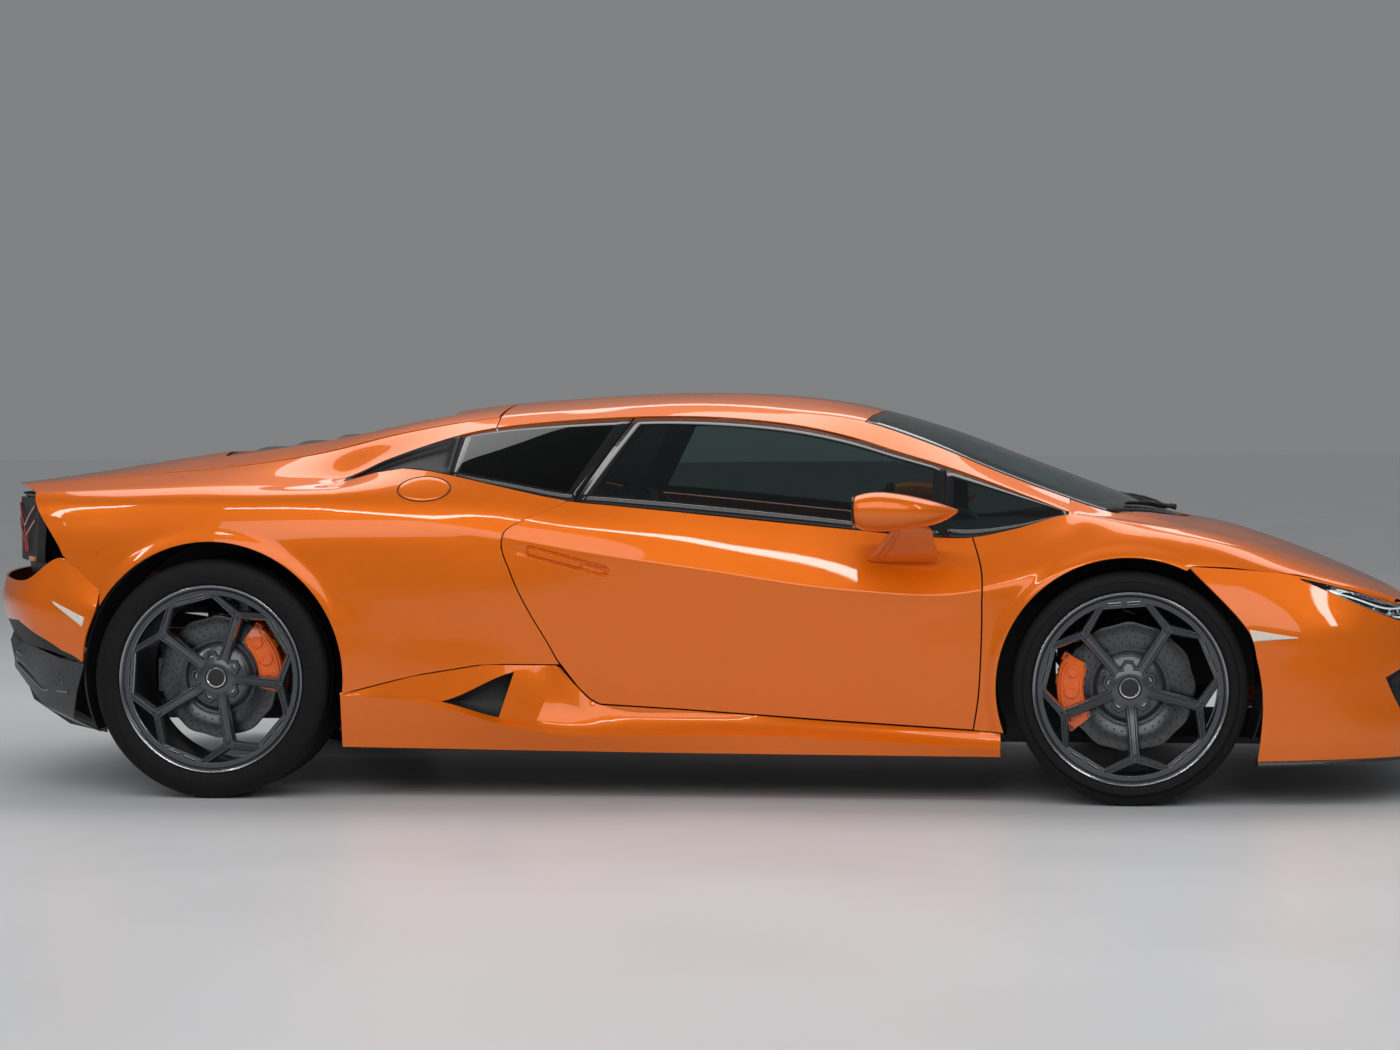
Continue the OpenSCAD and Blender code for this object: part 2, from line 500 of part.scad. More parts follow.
module rear_bumper() color(paint) {
    rows_3d = tail_rows();
    half = [for (w = [0, 0.5, 1, 1.5, 2, 2.5, 3]) [for (u = [0:0.5:6])
        through([for (r = rows_3d) through(r, u)], w)]];
    g = [for (r = half) concat([for (j = [len(r) - 1:-1:1]) [r[j][0], -r[j][1], r[j][2]]], r)];
    solid(g, inward(g, skin_t));
}
module rear_diffuser() color(black) {
    difference() {
        rotate([90, 0, 0]) translate([0, 0, -760]) linear_extrude(1520)
            polygon([[sx(-1800), 165], [sx(-2090), 330], [sx(-2060), 425], [sx(-1960), 425],
                [sx(-1960), 350], [sx(-1790), 190]]);
        for (y = [-pipe_y, pipe_y]) translate([sx(-2200), y, pipe_z]) rotate([0, 90, 0])
            cylinder(r = pipe_r + 10, h = 400);
    }
    for (y = [-520, -260, 0, 260, 520]) translate([0, y - 4, 0]) rotate([90, 0, 0])
        linear_extrude(8) polygon([[sx(-1850), 150], [sx(-2075), 235], [sx(-2086), 340],
            [sx(-1812), 180]]);
}

// ---------- lights ----------
module lamps() color(glass) {
    g = bumper_grid();
    h = inward(g, skin_t);
    both() solid(part_of(g, 6, 8, 4, 8, 0.012), part_of(h, 6, 8, 4, 8, 0.012));
    translate([0, 0, 655]) linear_extrude(210)
        polygon([for (y = [-780:60:780]) [tail_edge(y) + lamp_front, y],
            for (y = [780:-60:-780]) [tail_edge(y) + lamp_back, y]]);
}

// ---------- fixed structure ----------
// A box from x0 to x1, across y0 to y1 and from z0 to z1
module block(x0, x1, y0, y1, z0, z1) translate([sx(x0), y0, z0])
    cube([sx(x1) - sx(x0), y1 - y0, z1 - z0]);
module wide_block(x0, x1, y, z0, z1) block(x0, x1, -y, y, z0, z1);
module floor_pan() color(dark_metal) {
    nose_pt = through([for (r = nose_rows()) through(r, 0)], 2);
    difference() {
        union() {
            wide_block(-1000, 812, 770 * width_k - seat_gap, tub_z, floor_z);
            wide_block(800, 2090, 480, tub_z + 5, floor_z);
            wide_block(2030, 2090, 480, floor_z, 262);
            wide_block(2060, 2080, 40, 262, nose_pt[2] + 12);
        }
        translate([sx(2030), 250, 225]) rotate([0, 90, 0]) cylinder(r = 8, h = 200);
    }
    translate([sx(2070), 0, nose_pt[2]]) rotate([0, 90, 0])
        cylinder(r = stud_r, h = nose_pt[0] - skin_t - 0.5 - sx(2070));
}
// Bulkheads, sills, rails and cross-beams that stand on the floor
module body_frame() color(dark_metal) {
    tail_pt = through([for (r = tail_rows()) through(r, 0)], 1.5);
    wide_block(-500, -480, 700, frame_z, 850);
    wide_block(-640, -490, 620, 835, 850);
    wide_block(1000, 1015, box_y, frame_z, 700);
    both() side_structure();
    wide_block(-1800, -1780, rail_out, 480, 560);
    wide_block(-2100, -2060, 480, 480, 560);
    both() block(-2100, -1780, 340, rail_out, 500, 560);
    translate([tail_edge(60) + lamp_back + seat_gap, -60, 540]) cube([60, 120, 160]);
    wide_block(-1430, -1370, liner_ry - seat_gap, 650, 690);
    wide_block(-1000, -940, 400, 160, 188);
    translate([tail_pt[0] + skin_t + 4, 0, tail_pt[2]]) rotate([0, 90, 0])
        cylinder(r = stud_r, h = sx(-2090) - tail_pt[0] - skin_t);
}
module luggage_tub() color(black) difference() {
    wide_block(1080, 1680, 455, 300, 640);
    wide_block(1095, 1665, 440, 315, 641);
}
module side_structure() {
    block(-1000, 790, 700, 770 * width_k - seat_gap, frame_z, 235);
    block(785, 805, 700, 765, frame_z, 235);
    block(800, 826, 520, 765, frame_z, 700);
    block(826, 1000, 520, box_y, frame_z, 700);
    block(1010, 1160, 485, box_y, 180, 240);
    block(1160, 1280, 485, box_y, frame_z, 500);
    block(1160, 1280, 0, 485, 180, 299.6);
    block(1190, 1250, 485, liner_fy - seat_gap, 495, 600);
    block(-1780, -480, rail_y, rail_out, 180, 240);
    block(-1780, -1740, rail_y, rail_out, 180, 560);
    block(-1430, -1370, rail_y, rail_out, 240, 660);
    block(-2040, -2020, rail_y, rail_out, 425 + seat_gap, 520);
    door_post();
    bonnet_post();
}
module door_post() {
    block(820, 880, 700, 795, hinge_z1 - 18, hinge_z2 + 35);
    block(820, 830, 500, 705, hinge_z1 - 18, hinge_z2 + 35);
    for (z = [hinge_z1 - 18, hinge_z1 + 14, hinge_z2 + 14])
        translate([0, 0, z]) linear_extrude(8) polygon([[sx(856), 790], [sx(880), 790],
            [sx(door_hinge_x) + 13, door_hinge_y + 11], [sx(door_hinge_x) - 12, door_hinge_y + 11],
            [sx(door_hinge_x) - 12, door_hinge_y - 12]]);
    translate([sx(door_hinge_x), door_hinge_y, hinge_z1 - 18])
        cylinder(r = pin_r, h = hinge_z2 - hinge_z1 + 40);
}
module door_hinge_arm(z) translate([sx(door_hinge_x), door_hinge_y, z - 8]) linear_extrude(16)
    difference() {
        union() {
            circle(r = 13);
            polygon([[8, -8], [-22, -82], [-165, -82], [-165, -45], [-110, -45], [-100, -66],
                [-34, -66], [-8, 8]]);
        }
        circle(r = pin_r + pin_gap);
    }
module bonnet_post() {
    block(805, 826, 640, 655, 690, 740);
    translate([sx(bonnet_axis_x), 650, bonnet_axis_z]) rotate([-90, 0, 0]) cylinder(r = pin_r, h = 35);
    translate([0, 655, 0]) rotate([90, 0, 0]) linear_extrude(15) polygon([[sx(810), 704],
        [sx(1150), 704], [sx(bonnet_axis_x) + 9, bonnet_axis_z - 6],
        [sx(bonnet_axis_x) + 9, bonnet_axis_z + 9], [sx(bonnet_axis_x) - 9, bonnet_axis_z + 9],
        [sx(1100), 740], [sx(810), 740]]);
}
module bonnet_hinge_arm() translate([sx(bonnet_axis_x), 676, bonnet_axis_z]) rotate([90, 0, 0])
    linear_extrude(12) difference() {
        union() {
            circle(r = 12);
            polygon([[-8, -8], [6, -56], [86, -56], [86, 3], [72, 5], [72, -44], [16, -44],
                [8, 8]]);
        }
        circle(r = pin_r + pin_gap);
    }
module cover_hinge_lug() translate([sx(cover_axis_x), 206, cover_axis_z]) rotate([90, 0, 0])
    linear_extrude(12) difference() {
        union() {
            circle(r = 12);
            polygon([[8, -8], [-26, -48], [-106, -48], [-106, 19], [-94, 21], [-94, -36],
                [-34, -36], [-8, 8]]);
        }
        circle(r = pin_r + pin_gap);
    }
module wheel_liners() color(black) both() {
    liner(arch_fx, arch_fz, arch_rf, liner_fy, 870, 540, 180);
    liner(arch_rx, arch_rz, arch_rr, liner_ry, 880, 640, 190);
}
// A tube over a wheel from y0 to y1 with a wall at its inner end above height wall_z
module liner(cx, cz, r, y0, y1, wall_z, low) translate([cx, 0, 0]) rotate([90, 0, 0]) mirror([0, 0, 1]) {
    translate([0, 0, y0]) linear_extrude(y1 - y0) intersection() {
        translate([0, cz]) difference() {
            circle(r = r + liner_out, $fn = 96);
            circle(r = r + liner_in, $fn = 96);
        }
        translate([-500, low]) square([1000, 900]);
    }
    translate([0, 0, y0]) linear_extrude(5) intersection() {
        translate([0, cz]) circle(r = r + 8, $fn = 96);
        translate([-500, wall_z]) square([1000, 900]);
    }
}
module dashboard() color(black) {
    rotate([90, 0, 0]) translate([0, 0, -690]) linear_extrude(1380) polygon([[sx(600), 620],
        [sx(640), 740], [sx(700), 765], [sx(799), 765], [sx(799), 600], [sx(680), 575]]);
    wide_block(790, 1000, 630, 700 + seat_gap, 765);
    block(540, 760, 220, 480, 640, 800);
    wide_block(-380, 690, 90, frame_z, 380);
    wide_block(560, 690, 90, 380, 640);
    steer_frame() translate([0, 0, 28.5]) cylinder(r = 22, h = 160);
}
module steer_frame() translate([sx(steer_x), steer_y, steer_z]) rotate([0, 90 + steer_tilt, 0])
    children();
module steering_wheel() color(black) steer_frame() {
    rotate_extrude() translate([steer_r - 14, 0]) circle(r = 14);
    cylinder(r = 45, h = 28);
    for (a = [90, 210, 330]) rotate([0, 0, a]) translate([30, -16, 2]) cube([steer_r - 45, 32, 12]);
}
module seats() color(paint) for (s = [-1, 1]) translate([0, s * steer_y - seat_w / 2, 0])
    rotate([90, 0, 0]) translate([0, 0, -seat_w]) linear_extrude(seat_w) polygon([
        [sx(-290), frame_z], [sx(210), frame_z], [sx(240), 330], [sx(60), 310],
        [sx(-150), 290], [sx(-330), 880], [sx(-400), 900], [sx(-440), 860], [sx(-330), 300]]);
module engine_block() color(metal) {
    wide_block(-1250, -560, rail_y - seat_gap, 190, 740);
    wide_block(-1490, -1250, 170, 230, 540);
}
module exhaust() color(metal) {
    wide_block(-1740, -1495, rail_y - seat_gap, 230, 430);
    for (y = [-pipe_y, pipe_y]) translate([sx(-2080), y, pipe_z]) rotate([0, 90, 0])
        difference() {
            cylinder(r = pipe_r, h = sx(-1730) - sx(-2080));
            translate([0, 0, -1]) cylinder(r = pipe_r - 4, h = 200);
        }
}
module wipers() color(black) {
    for (r = [[8.4, 9.6, 20], [10.0, 11.6, 20]]) {
        g = [for (v = [8.4, 8.8, 9.2, 9.6, 10, 10.4, 10.8, 11.2, 11.6]) if (v >= r[0] && v <= r[1])
            let (x0 = edge_x(function (p) cowl_x(p[1]), 1200, fixed(v), fixed(v), 0) - 60 - r[2])
            [skin(x0, v), skin(x0 + 12, v)]];
        solid(inward(g, -10), inward(g, -1.2));
    }
}

// ---------- suspension ----------
module stub(y0, y1) rotate([-90, 0, 0]) translate([0, 0, y0]) cylinder(r = axle_r, h = y1 - y0);
// The steering axis: its pin, and its distance from the wheel's centre plane
king_y = -27;
king_r = 12;
arm_w = 44;
arm_t = 16;
module caliper(r, s0, s1, a) rotate([-90, 0, 0]) rotate([0, 0, -a]) difference() {
    translate([0, 0, s0 - 20]) linear_extrude(s1 - s0 + 36) difference() {
        intersection() {
            circle(r = r + 32);
            polygon([[0, 0], [400, 400 * tan(35)], [400, -400 * tan(35)]]);
        }
        circle(r = r - 62);
    }
    translate([0, 0, s0 - 5]) cylinder(r = r + 5, h = s1 - s0 + 10);
}
disc_fs = 4;
disc_rs = 20;
disc_t = 32;
module knuckle() color(metal) translate([front_x, wheel_fy, front_z]) {
    stub(king_y - 7, 60);
    translate([-55, king_y - 8, -70]) cube([110, 18, 140]);
    translate([0, king_y, -130]) cylinder(r = king_r, h = 260);
    translate([-205, king_y - 4, -50]) cube([160, 20, 100]);
    caliper(disc_rf, disc_fs, disc_fs + disc_t, 180);
}
module suspension() color(dark_metal) both() {
    front_arms();
    rear_upright();
}
module front_arms() {
    arm_y = box_y + seat_gap;
    for (z = [-122, 106]) difference() {
        translate([front_x - arm_w / 2, arm_y, front_z + z])
            cube([arm_w, wheel_fy + king_y + king_r + 3 - arm_y, arm_t]);
        translate([front_x, wheel_fy + king_y, front_z + z - 1])
            cylinder(r = king_r + pin_gap, h = arm_t + 2);
    }
}
module rear_upright() {
    arm_y = rail_out + seat_gap;
    translate([rear_x, wheel_ry, rear_z]) {
        stub(-250, 80);
        translate([-60, -60, -90]) cube([120, 60, 180]);
        translate([55, -30, -40]) cube([115, 34, 110]);
        caliper(disc_rr, disc_rs, disc_rs + disc_t, 20);
    }
    translate([rear_x - 40, arm_y, 200]) cube([80, wheel_ry - 55 - arm_y, 60]);
    translate([rear_x - 40, wheel_ry - 60, 200]) cube([80, 30, 80]);
}

// ---------- wheels ----------
// A wheel's own frame: Z runs outward along its axle from the wheel's centre plane
module on_hub(x, y, z) translate([x, y, z]) rotate([-90, 0, 0]) children();
module tyre(r, w) rotate_extrude($fn = 96) polygon([[rim_r - 15.6, -w / 2 + 22],
    [rim_r + 1, -w / 2 + 13], [rim_r + 12, -w / 2 + 3], [rim_r + 25, -w / 2], [r - 22, -w / 2 + 4],
    [r - 6, -w / 2 + 12], [r, -w / 2 + 30], [r, w / 2 - 30], [r - 6, w / 2 - 12],
    [r - 22, w / 2 - 4], [rim_r + 25, w / 2], [rim_r + 12, w / 2 - 3], [rim_r + 1, w / 2 - 13],
    [rim_r - 15.6, w / 2 - 22], [rim_r - 15.6, w / 2 - 34], [rim_r + 4, w / 2 - 26],
    [r - 16, w / 2 - 24], [r - 14, 0], [r - 16, -w / 2 + 24], [rim_r + 4, -w / 2 + 26],
    [rim_r - 15.6, -w / 2 + 34]]);
module rim(w, s_hub) {
    rotate_extrude($fn = 96) polygon([[rim_r - 16, -w / 2 + 12.6], [rim_r, -w / 2 + 12],
        [rim_r, -w / 2 + 6], [rim_r - 22, -w / 2 + 6], [rim_r - 24, -w / 2 + 30],
        [rim_r - 24, w / 2 - 30], [rim_r - 22, w / 2 - 6], [rim_r, w / 2 - 6], [rim_r, w / 2 - 12],
        [rim_r - 16, w / 2 - 12.6]]);
    difference() {
        union() {
            translate([0, 0, s_hub]) cylinder(r = 90, h = 24);
            intersection() {
                for (a = [0:spokes - 1]) rotate([0, 0, 90 + a * 360 / spokes]) spoke(w, s_hub);
                cylinder(r = rim_r - 20, h = w);
            }
        }
        translate([0, 0, s_hub - 10]) cylinder(r = axle_r + pin_gap, h = 90);
        for (a = [0:4]) rotate([0, 0, 54 + a * 72]) translate([56, 0, s_hub - 10])
            cylinder(r = 8, h = 60);
    }
}
module spoke(w, s_hub) {
    s_lip = w / 2 - 12;
    rotate([90, 0, 0]) translate([0, 0, -16]) linear_extrude(32) polygon([[70, s_hub + 2],
        [110, s_hub + 14], [200, s_lip - 36], [216, s_lip - 34], [216, s_lip - 4],
        [180, s_lip - 8], [80, s_hub + 24]]);
    for (m = [-1, 1]) translate([202, 0, s_lip - 34]) rotate([0, 0, m * 71])
        translate([-8, -9, 0]) cube([108, 18, 30]);
}
module disc(r, s0, s_hub) difference() {
    union() {
        translate([0, 0, s0]) cylinder(r = r, h = disc_t, $fn = 96);
        translate([0, 0, s0]) cylinder(r = 88, h = s_hub - s0 - seat_gap);
    }
    translate([0, 0, s0 - 1]) cylinder(r = axle_r + pin_gap, h = 120);
    translate([0, 0, s0 - 1]) cylinder(r = 78, h = 24);
}
hub_fs = disc_fs + disc_t + 8;
hub_rs = disc_rs + disc_t + 8;
module front_tyre() color(black) on_hub(front_x, wheel_fy, front_z) tyre(tyre_rf, tyre_wf);
module front_rim() color(dark_metal) on_hub(front_x, wheel_fy, front_z) rim(tyre_wf, hub_fs);
module front_disc() color(metal) on_hub(front_x, wheel_fy, front_z) disc(disc_rf, disc_fs, hub_fs);
module rear_tyre() color(black) on_hub(rear_x, wheel_ry, rear_z) tyre(tyre_rr, tyre_wr);
module rear_rim() color(dark_metal) on_hub(rear_x, wheel_ry, rear_z) rim(tyre_wr, hub_rs);
module rear_disc() color(metal) on_hub(rear_x, wheel_ry, rear_z) disc(disc_rr, disc_rs, hub_rs);

// ---------- mirrors ----------
module mirror_unit() color(paint) {
    intersection() {
        rotate([90, 0, 0]) mirror([0, 0, 1]) linear_extrude(1200) polygon([[sx(458), 792],
            [sx(466), 868], [sx(520), 881], [sx(620), 868], [sx(700), 846], [sx(747), 826],
            [sx(700), 792], [sx(560), 768], [sx(480), 770]]);
        linear_extrude(1000) polygon([[sx(458), 950], [sx(452), 1112], [sx(500), 1118],
            [sx(640), 1092], [sx(720), 1030], [sx(747), 975], [sx(700), 942], [sx(560), 935]]);
    }
    for (x = [555, 615]) let (y0 = skin(sx(x), at_height(sx(x), 668))[1] - 0.8) {
        translate([sx(x) - 10, y0, 672]) cube([20, 990 - y0, 12]);
        translate([sx(x) - 10, 976, 672]) cube([20, 14, 110]);
    }
}

floor_pan();
body_frame();
luggage_tub();
wheel_liners();
side_skirts();
front_bumper();
rear_bumper();
rear_diffuser();
front_fender();  // left_front_fender
side(-1) front_fender();  // right_front_fender
rear_quarter();  // left_rear_quarter
side(-1) rear_quarter();  // right_rear_quarter
roof();
windshield();
fixed_windows();
lamps();
dashboard();
seats();
engine_block();
exhaust();
wipers();
suspension();
bonnet();
engine_cover();
door();  // left_door
door_window();  // left_door_window
mirror_unit();  // left_mirror
side(-1) door();  // right_door
side(-1) door_window();  // right_door_window
side(-1) mirror_unit();  // right_mirror
steering_wheel();
knuckle();  // front_left_knuckle
front_tyre();  // front_left_tyre
front_rim();  // front_left_rim
front_disc();  // front_left_disc
side(-1) knuckle();  // front_right_knuckle
side(-1) front_tyre();  // front_right_tyre
side(-1) front_rim();  // front_right_rim
side(-1) front_disc();  // front_right_disc
rear_tyre();  // rear_left_tyre
rear_rim();  // rear_left_rim
rear_disc();  // rear_left_disc
side(-1) rear_tyre();  // rear_right_tyre
side(-1) rear_rim();  // rear_right_rim
side(-1) rear_disc();  // rear_right_disc
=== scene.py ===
import json
import math
from functools import lru_cache

import bmesh
import bpy
from mathutils import Matrix, Vector


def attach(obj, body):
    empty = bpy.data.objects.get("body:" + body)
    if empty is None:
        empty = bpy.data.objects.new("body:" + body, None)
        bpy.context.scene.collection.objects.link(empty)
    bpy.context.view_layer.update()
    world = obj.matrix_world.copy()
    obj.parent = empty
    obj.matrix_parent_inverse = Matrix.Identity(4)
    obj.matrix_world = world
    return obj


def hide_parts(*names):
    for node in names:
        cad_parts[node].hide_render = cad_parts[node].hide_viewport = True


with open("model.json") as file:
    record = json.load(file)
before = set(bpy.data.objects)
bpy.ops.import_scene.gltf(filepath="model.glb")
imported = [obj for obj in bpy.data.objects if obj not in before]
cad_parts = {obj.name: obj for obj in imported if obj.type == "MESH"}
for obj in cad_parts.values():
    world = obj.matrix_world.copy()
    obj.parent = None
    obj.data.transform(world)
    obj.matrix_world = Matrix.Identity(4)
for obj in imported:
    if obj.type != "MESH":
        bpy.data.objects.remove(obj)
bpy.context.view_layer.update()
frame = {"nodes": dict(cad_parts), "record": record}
scene = bpy.context.scene
MM = 0.001

# ---------- sizes, in millimetres ----------
FRONT_X, REAR_X = 1220, -1400
TYRE_RF, TYRE_RR = 327, 345
TYRE_WF, TYRE_WR = 245, 305
WHEEL_FY, WHEEL_RY = 834, 810
RIM_R = 270
# Each wheel arch as x, z and radius, and how far and how wide its lip stands out
ARCH_F = (1215, 325, 368)
ARCH_R = (-1400, 352, 389)
FLARE, FLARE_W = 9, 34
# Numbers of the rows at the waist, the roof's rail, the deck's edge and the middle
BELT, RAIL, DECK, TOP = 6, 7, 8, 10
ROOF_REAR = -622
SIDES = ("left", "right")

# Rows of the body's left half from the sill to the roof's middle, each a list of (x, y, z)
ROWS = [
    [(-2230, 780, 180), (-1400, 905, 180), (-1021, 930, 180), (-600, 895, 180), (0, 862, 180),
     (400, 866, 180), (864, 898, 180), (1600, 925, 180), (2090, 720, 180)],
    [(-2230, 800, 330), (-1700, 930, 330), (-1400, 950, 330), (-1011, 946, 330), (-600, 912, 330),
     (-393, 882, 330), (0, 872, 330), (400, 876, 330), (847, 905, 330), (1220, 938, 330),
     (1600, 938, 330), (2090, 730, 330)],
    [(-2230, 810, 470), (-1850, 915, 470), (-1400, 958, 475), (-1050, 952, 475), (-700, 922, 472),
     (-471, 897, 465), (0, 884, 455), (400, 888, 440), (850, 913, 440), (1220, 948, 470),
     (1600, 940, 470), (2090, 720, 470)],
    [(-2230, 800, 600), (-1850, 905, 610), (-1400, 960, 640), (-1050, 952, 640), (-700, 926, 615),
     (-400, 903, 590), (0, 893, 565), (454, 898, 525), (800, 910, 525), (1000, 932, 570),
     (1220, 948, 610), (1450, 938, 590), (1700, 895, 560), (1950, 815, 520), (2090, 700, 480)],
    [(-2230, 770, 760), (-1950, 865, 780), (-1700, 912, 790), (-1400, 935, 800), (-1050, 934, 800),
     (-790, 918, 795), (-552, 905, 752), (-300, 902, 705), (0, 902, 660), (454, 906, 597),
     (750, 910, 590), (950, 918, 635), (1220, 930, 695), (1450, 916, 672), (1700, 872, 632),
     (1950, 812, 562), (2090, 690, 505)],
    [(-2230, 740, 850), (-1950, 845, 848), (-1700, 885, 852), (-1400, 902, 862), (-1050, 893, 870),
     (-790, 882, 858), (-552, 880, 812), (-300, 876, 772), (0, 868, 735), (454, 862, 684),
     (777, 862, 668), (950, 868, 705), (1220, 878, 752), (1450, 858, 728), (1700, 800, 662),
     (1950, 715, 580), (2090, 600, 522)],
    [(-2230, 715, 878), (-1950, 812, 880), (-1700, 838, 888), (-1400, 848, 898), (-1150, 815, 902),
     (-1052, 785, 908), (-950, 772, 935), (-867, 775, 947), (-750, 798, 932), (-630, 818, 906),
     (-521, 828, 882), (-397, 832, 855), (-241, 831, 838), (-63, 828, 820), (145, 822, 798),
     (450, 816, 767), (665, 812, 746), (777, 811, 745), (898, 804, 768), (1055, 778, 808),
     (1220, 812, 786), (1450, 790, 748), (1700, 725, 676), (1950, 620, 590), (2090, 500, 532)],
    [(-2230, 690, 886), (-1950, 775, 890), (-1700, 792, 902), (-1400, 788, 918), (-1150, 758, 922),
     (-1052, 738, 920), (-931, 690, 973), (-816, 655, 1016), (-701, 628, 1050), (-611, 612, 1066),
     (-471, 598, 1081), (-271, 590, 1093), (-73, 586, 1096), (124, 588, 1085), (280, 595, 1065),
     (436, 608, 1029), (548, 625, 993), (702, 655, 946), (857, 695, 891), (980, 735, 844),
     (1055, 764, 816), (1220, 758, 793), (1450, 735, 756), (1700, 660, 684), (1950, 545, 597),
     (2090, 430, 537)],
    [(-2230, 640, 890), (-2030, 685, 902), (-1700, 690, 928), (-1400, 668, 954), (-1174, 640, 986),
     (-905, 590, 1050), (-614, 542, 1096), (-400, 520, 1113), (0, 505, 1128), (250, 510, 1108),
     (459, 530, 1075), (646, 560, 1012), (857, 610, 925), (1010, 655, 867), (1165, 702, 815),
     (1300, 695, 789), (1500, 650, 742), (1700, 590, 688), (1900, 490, 614), (2090, 355, 540)],
    [(-2230, 350, 896), (-2030, 350, 920), (-1700, 350, 968), (-1400, 330, 1012),
     (-1049, 310, 1064), (-749, 290, 1120), (-455, 270, 1147), (-59, 265, 1163), (227, 270, 1151),
     (395, 275, 1129), (507, 285, 1103), (681, 300, 1050), (929, 325, 958), (1165, 350, 867),
     (1400, 350, 785), (1500, 335, 764), (1700, 305, 703), (1900, 255, 622), (2090, 190, 541)],
    [(-2230, 0, 896), (-2072, 0, 914), (-1741, 0, 965), (-1397, 0, 1016), (-1049, 0, 1069),
     (-749, 0, 1126), (-455, 0, 1152), (-59, 0, 1168), (227, 0, 1157), (395, 0, 1135),
     (507, 0, 1110), (681, 0, 1059), (929, 0, 965), (1165, 0, 875), (1400, 0, 789), (1500, 0, 772),
     (1700, 0, 711), (1900, 0, 630), (2090, 0, 542)],
]
DOOR_REAR = [(272, -275), (288, -308), (333, -347), (384, -391), (448, -427), (523, -471),
             (645, -529), (748, -555), (765, -549), (848, -383), (900, -280)]
DOOR_FRONT = [(202, 783), (289, 797), (402, 805), (546, 809), (660, 806), (742, 782), (800, 760)]
SILL_LINE = [(-1014, 303), (-811, 355), (-607, 387), (-404, 384), (-355, 333), (-312, 288),
             (-280, 270), (-46, 256), (389, 226), (783, 204), (870, 198)]
FENDER_FRONT = [(1380, 668), (1499, 663), (1691, 640), (1830, 602), (1967, 556), (2100, 504)]
QUARTER_REAR = [(590, -1732), (616, -1764), (651, -1790), (697, -1852), (708, -1857),
                (764, -1893), (815, -1930), (888, -1965), (905, -1968)]


# ---------- curves ----------
def lerp(a, b, t):
    return a + (b - a) * t


def mix(p, q, t):
    return tuple(lerp(a, b, t) for a, b in zip(p, q))


def smooth(t):
    """An even blend from 0 at t = 0 to 1 at t = 1."""
    t = min(1, max(0, t))
    return t * t * (3 - 2 * t)


def hermite(a, b, ma, mb, t):
    """The cubic from a to b with the slopes ma and mb at its ends."""
    t2, t3 = t * t, t * t * t
    return a * (2 * t3 - 3 * t2 + 1) + ma * (t3 - 2 * t2 + t) + b * (3 * t2 - 2 * t3) + mb * (t3 - t2)


def span(k, x):
    """The stretch between knots that x is in."""
    i = 0
    while i < len(k) - 2 and x >= k[i + 1][0]:
        i += 1
    return i


def slope(k, i, c):
    """The curve's slope at knot i, weighted by the stretches beside it."""
    def rise(j):
        return (k[j + 1][c] - k[j][c]) / (k[j + 1][0] - k[j][0])
    if i == 0:
        return rise(0)
    if i == len(k) - 1:
        return rise(i - 1)
    h0, h1 = k[i][0] - k[i - 1][0], k[i + 1][0] - k[i][0]
    return (rise(i - 1) * h1 + rise(i) * h0) / (h0 + h1)


def on(k, x, c=1):
    """Column c of the smooth curve through the knots k at x."""
    i = span(k, x)
    h = k[i + 1][0] - k[i][0]
    t = min(1, max(0, (x - k[i][0]) / h))
    return hermite(k[i][c], k[i + 1][c], slope(k, i, c) * h, slope(k, i + 1, c) * h, t)


def straight(k, x):
    """The line through the knots k at x."""
    i = span(k, x)
    return lerp(k[i][1], k[i + 1][1], min(1, max(0, (x - k[i][0]) / (k[i + 1][0] - k[i][0]))))


def crease(x):
    """How sharp each row's edge is at x, from 0 for smooth to 1."""
    waist = 0.85 * smooth((x + 900) / 350) * (1 - smooth((x - 780) / 220)) + 0.12
    return [0, 0, 0, 0, waist, 0, 0.3, 0.6, 0.5, 0.3, 0]


@lru_cache(None)
def section(x):
    """The section's points at x and its direction before and after each of them."""
    s = [(on(r, x, 1), on(r, x, 2)) for r in ROWS]
    c = crease(x)
    before, after = [None] * 11, [None] * 11
    for i in range(10):
        d = math.dist(s[i], s[i + 1])
        after[i] = before[i + 1] = ((s[i + 1][0] - s[i][0]) / d, (s[i + 1][1] - s[i][1]) / d, d)
    lo, hi = [None] * 11, [None] * 11
    lo[0] = hi[0] = after[0][:2]
    lo[10] = hi[10] = (-1, 0)
    for i in range(1, 10):
        a, b = before[i], after[i]
        e = ((a[0] * b[2] + b[0] * a[2]) / (a[2] + b[2]), (a[1] * b[2] + b[1] * a[2]) / (a[2] + b[2]))
        n = math.hypot(*e)
        e = (e[0] / n, e[1] / n)
        lo[i] = mix(e, a[:2], c[i])
        hi[i] = mix(e, b[:2], c[i])
    return s, lo, hi


def on_section(sec, v):
    """The (y, z) at row number v of a section."""
    s, lo, hi = sec
    i = min(9, int(v))
    t = v - i
    n = math.dist(s[i], s[i + 1])
    return tuple(hermite(s[i][c], s[i + 1][c], hi[i][c] * n, lo[i + 1][c] * n, t) for c in (0, 1))


@lru_cache(None)
def at_height(x, z):
    """The row number at which the section reaches height z."""
    sec, lo, hi = section(x), 0, 8
    for _ in range(18):
        m = (lo + hi) / 2
        if on_section(sec, m)[1] < z:
            lo = m
        else:
            hi = m
    return (lo + hi) / 2


def swell(x, z, arch):
    """How far a wheel arch's lip lifts the skin at (x, z)."""
    return FLARE * (1 - smooth((math.hypot(x - arch[0], z - arch[1]) - arch[2] - 4) / FLARE_W))


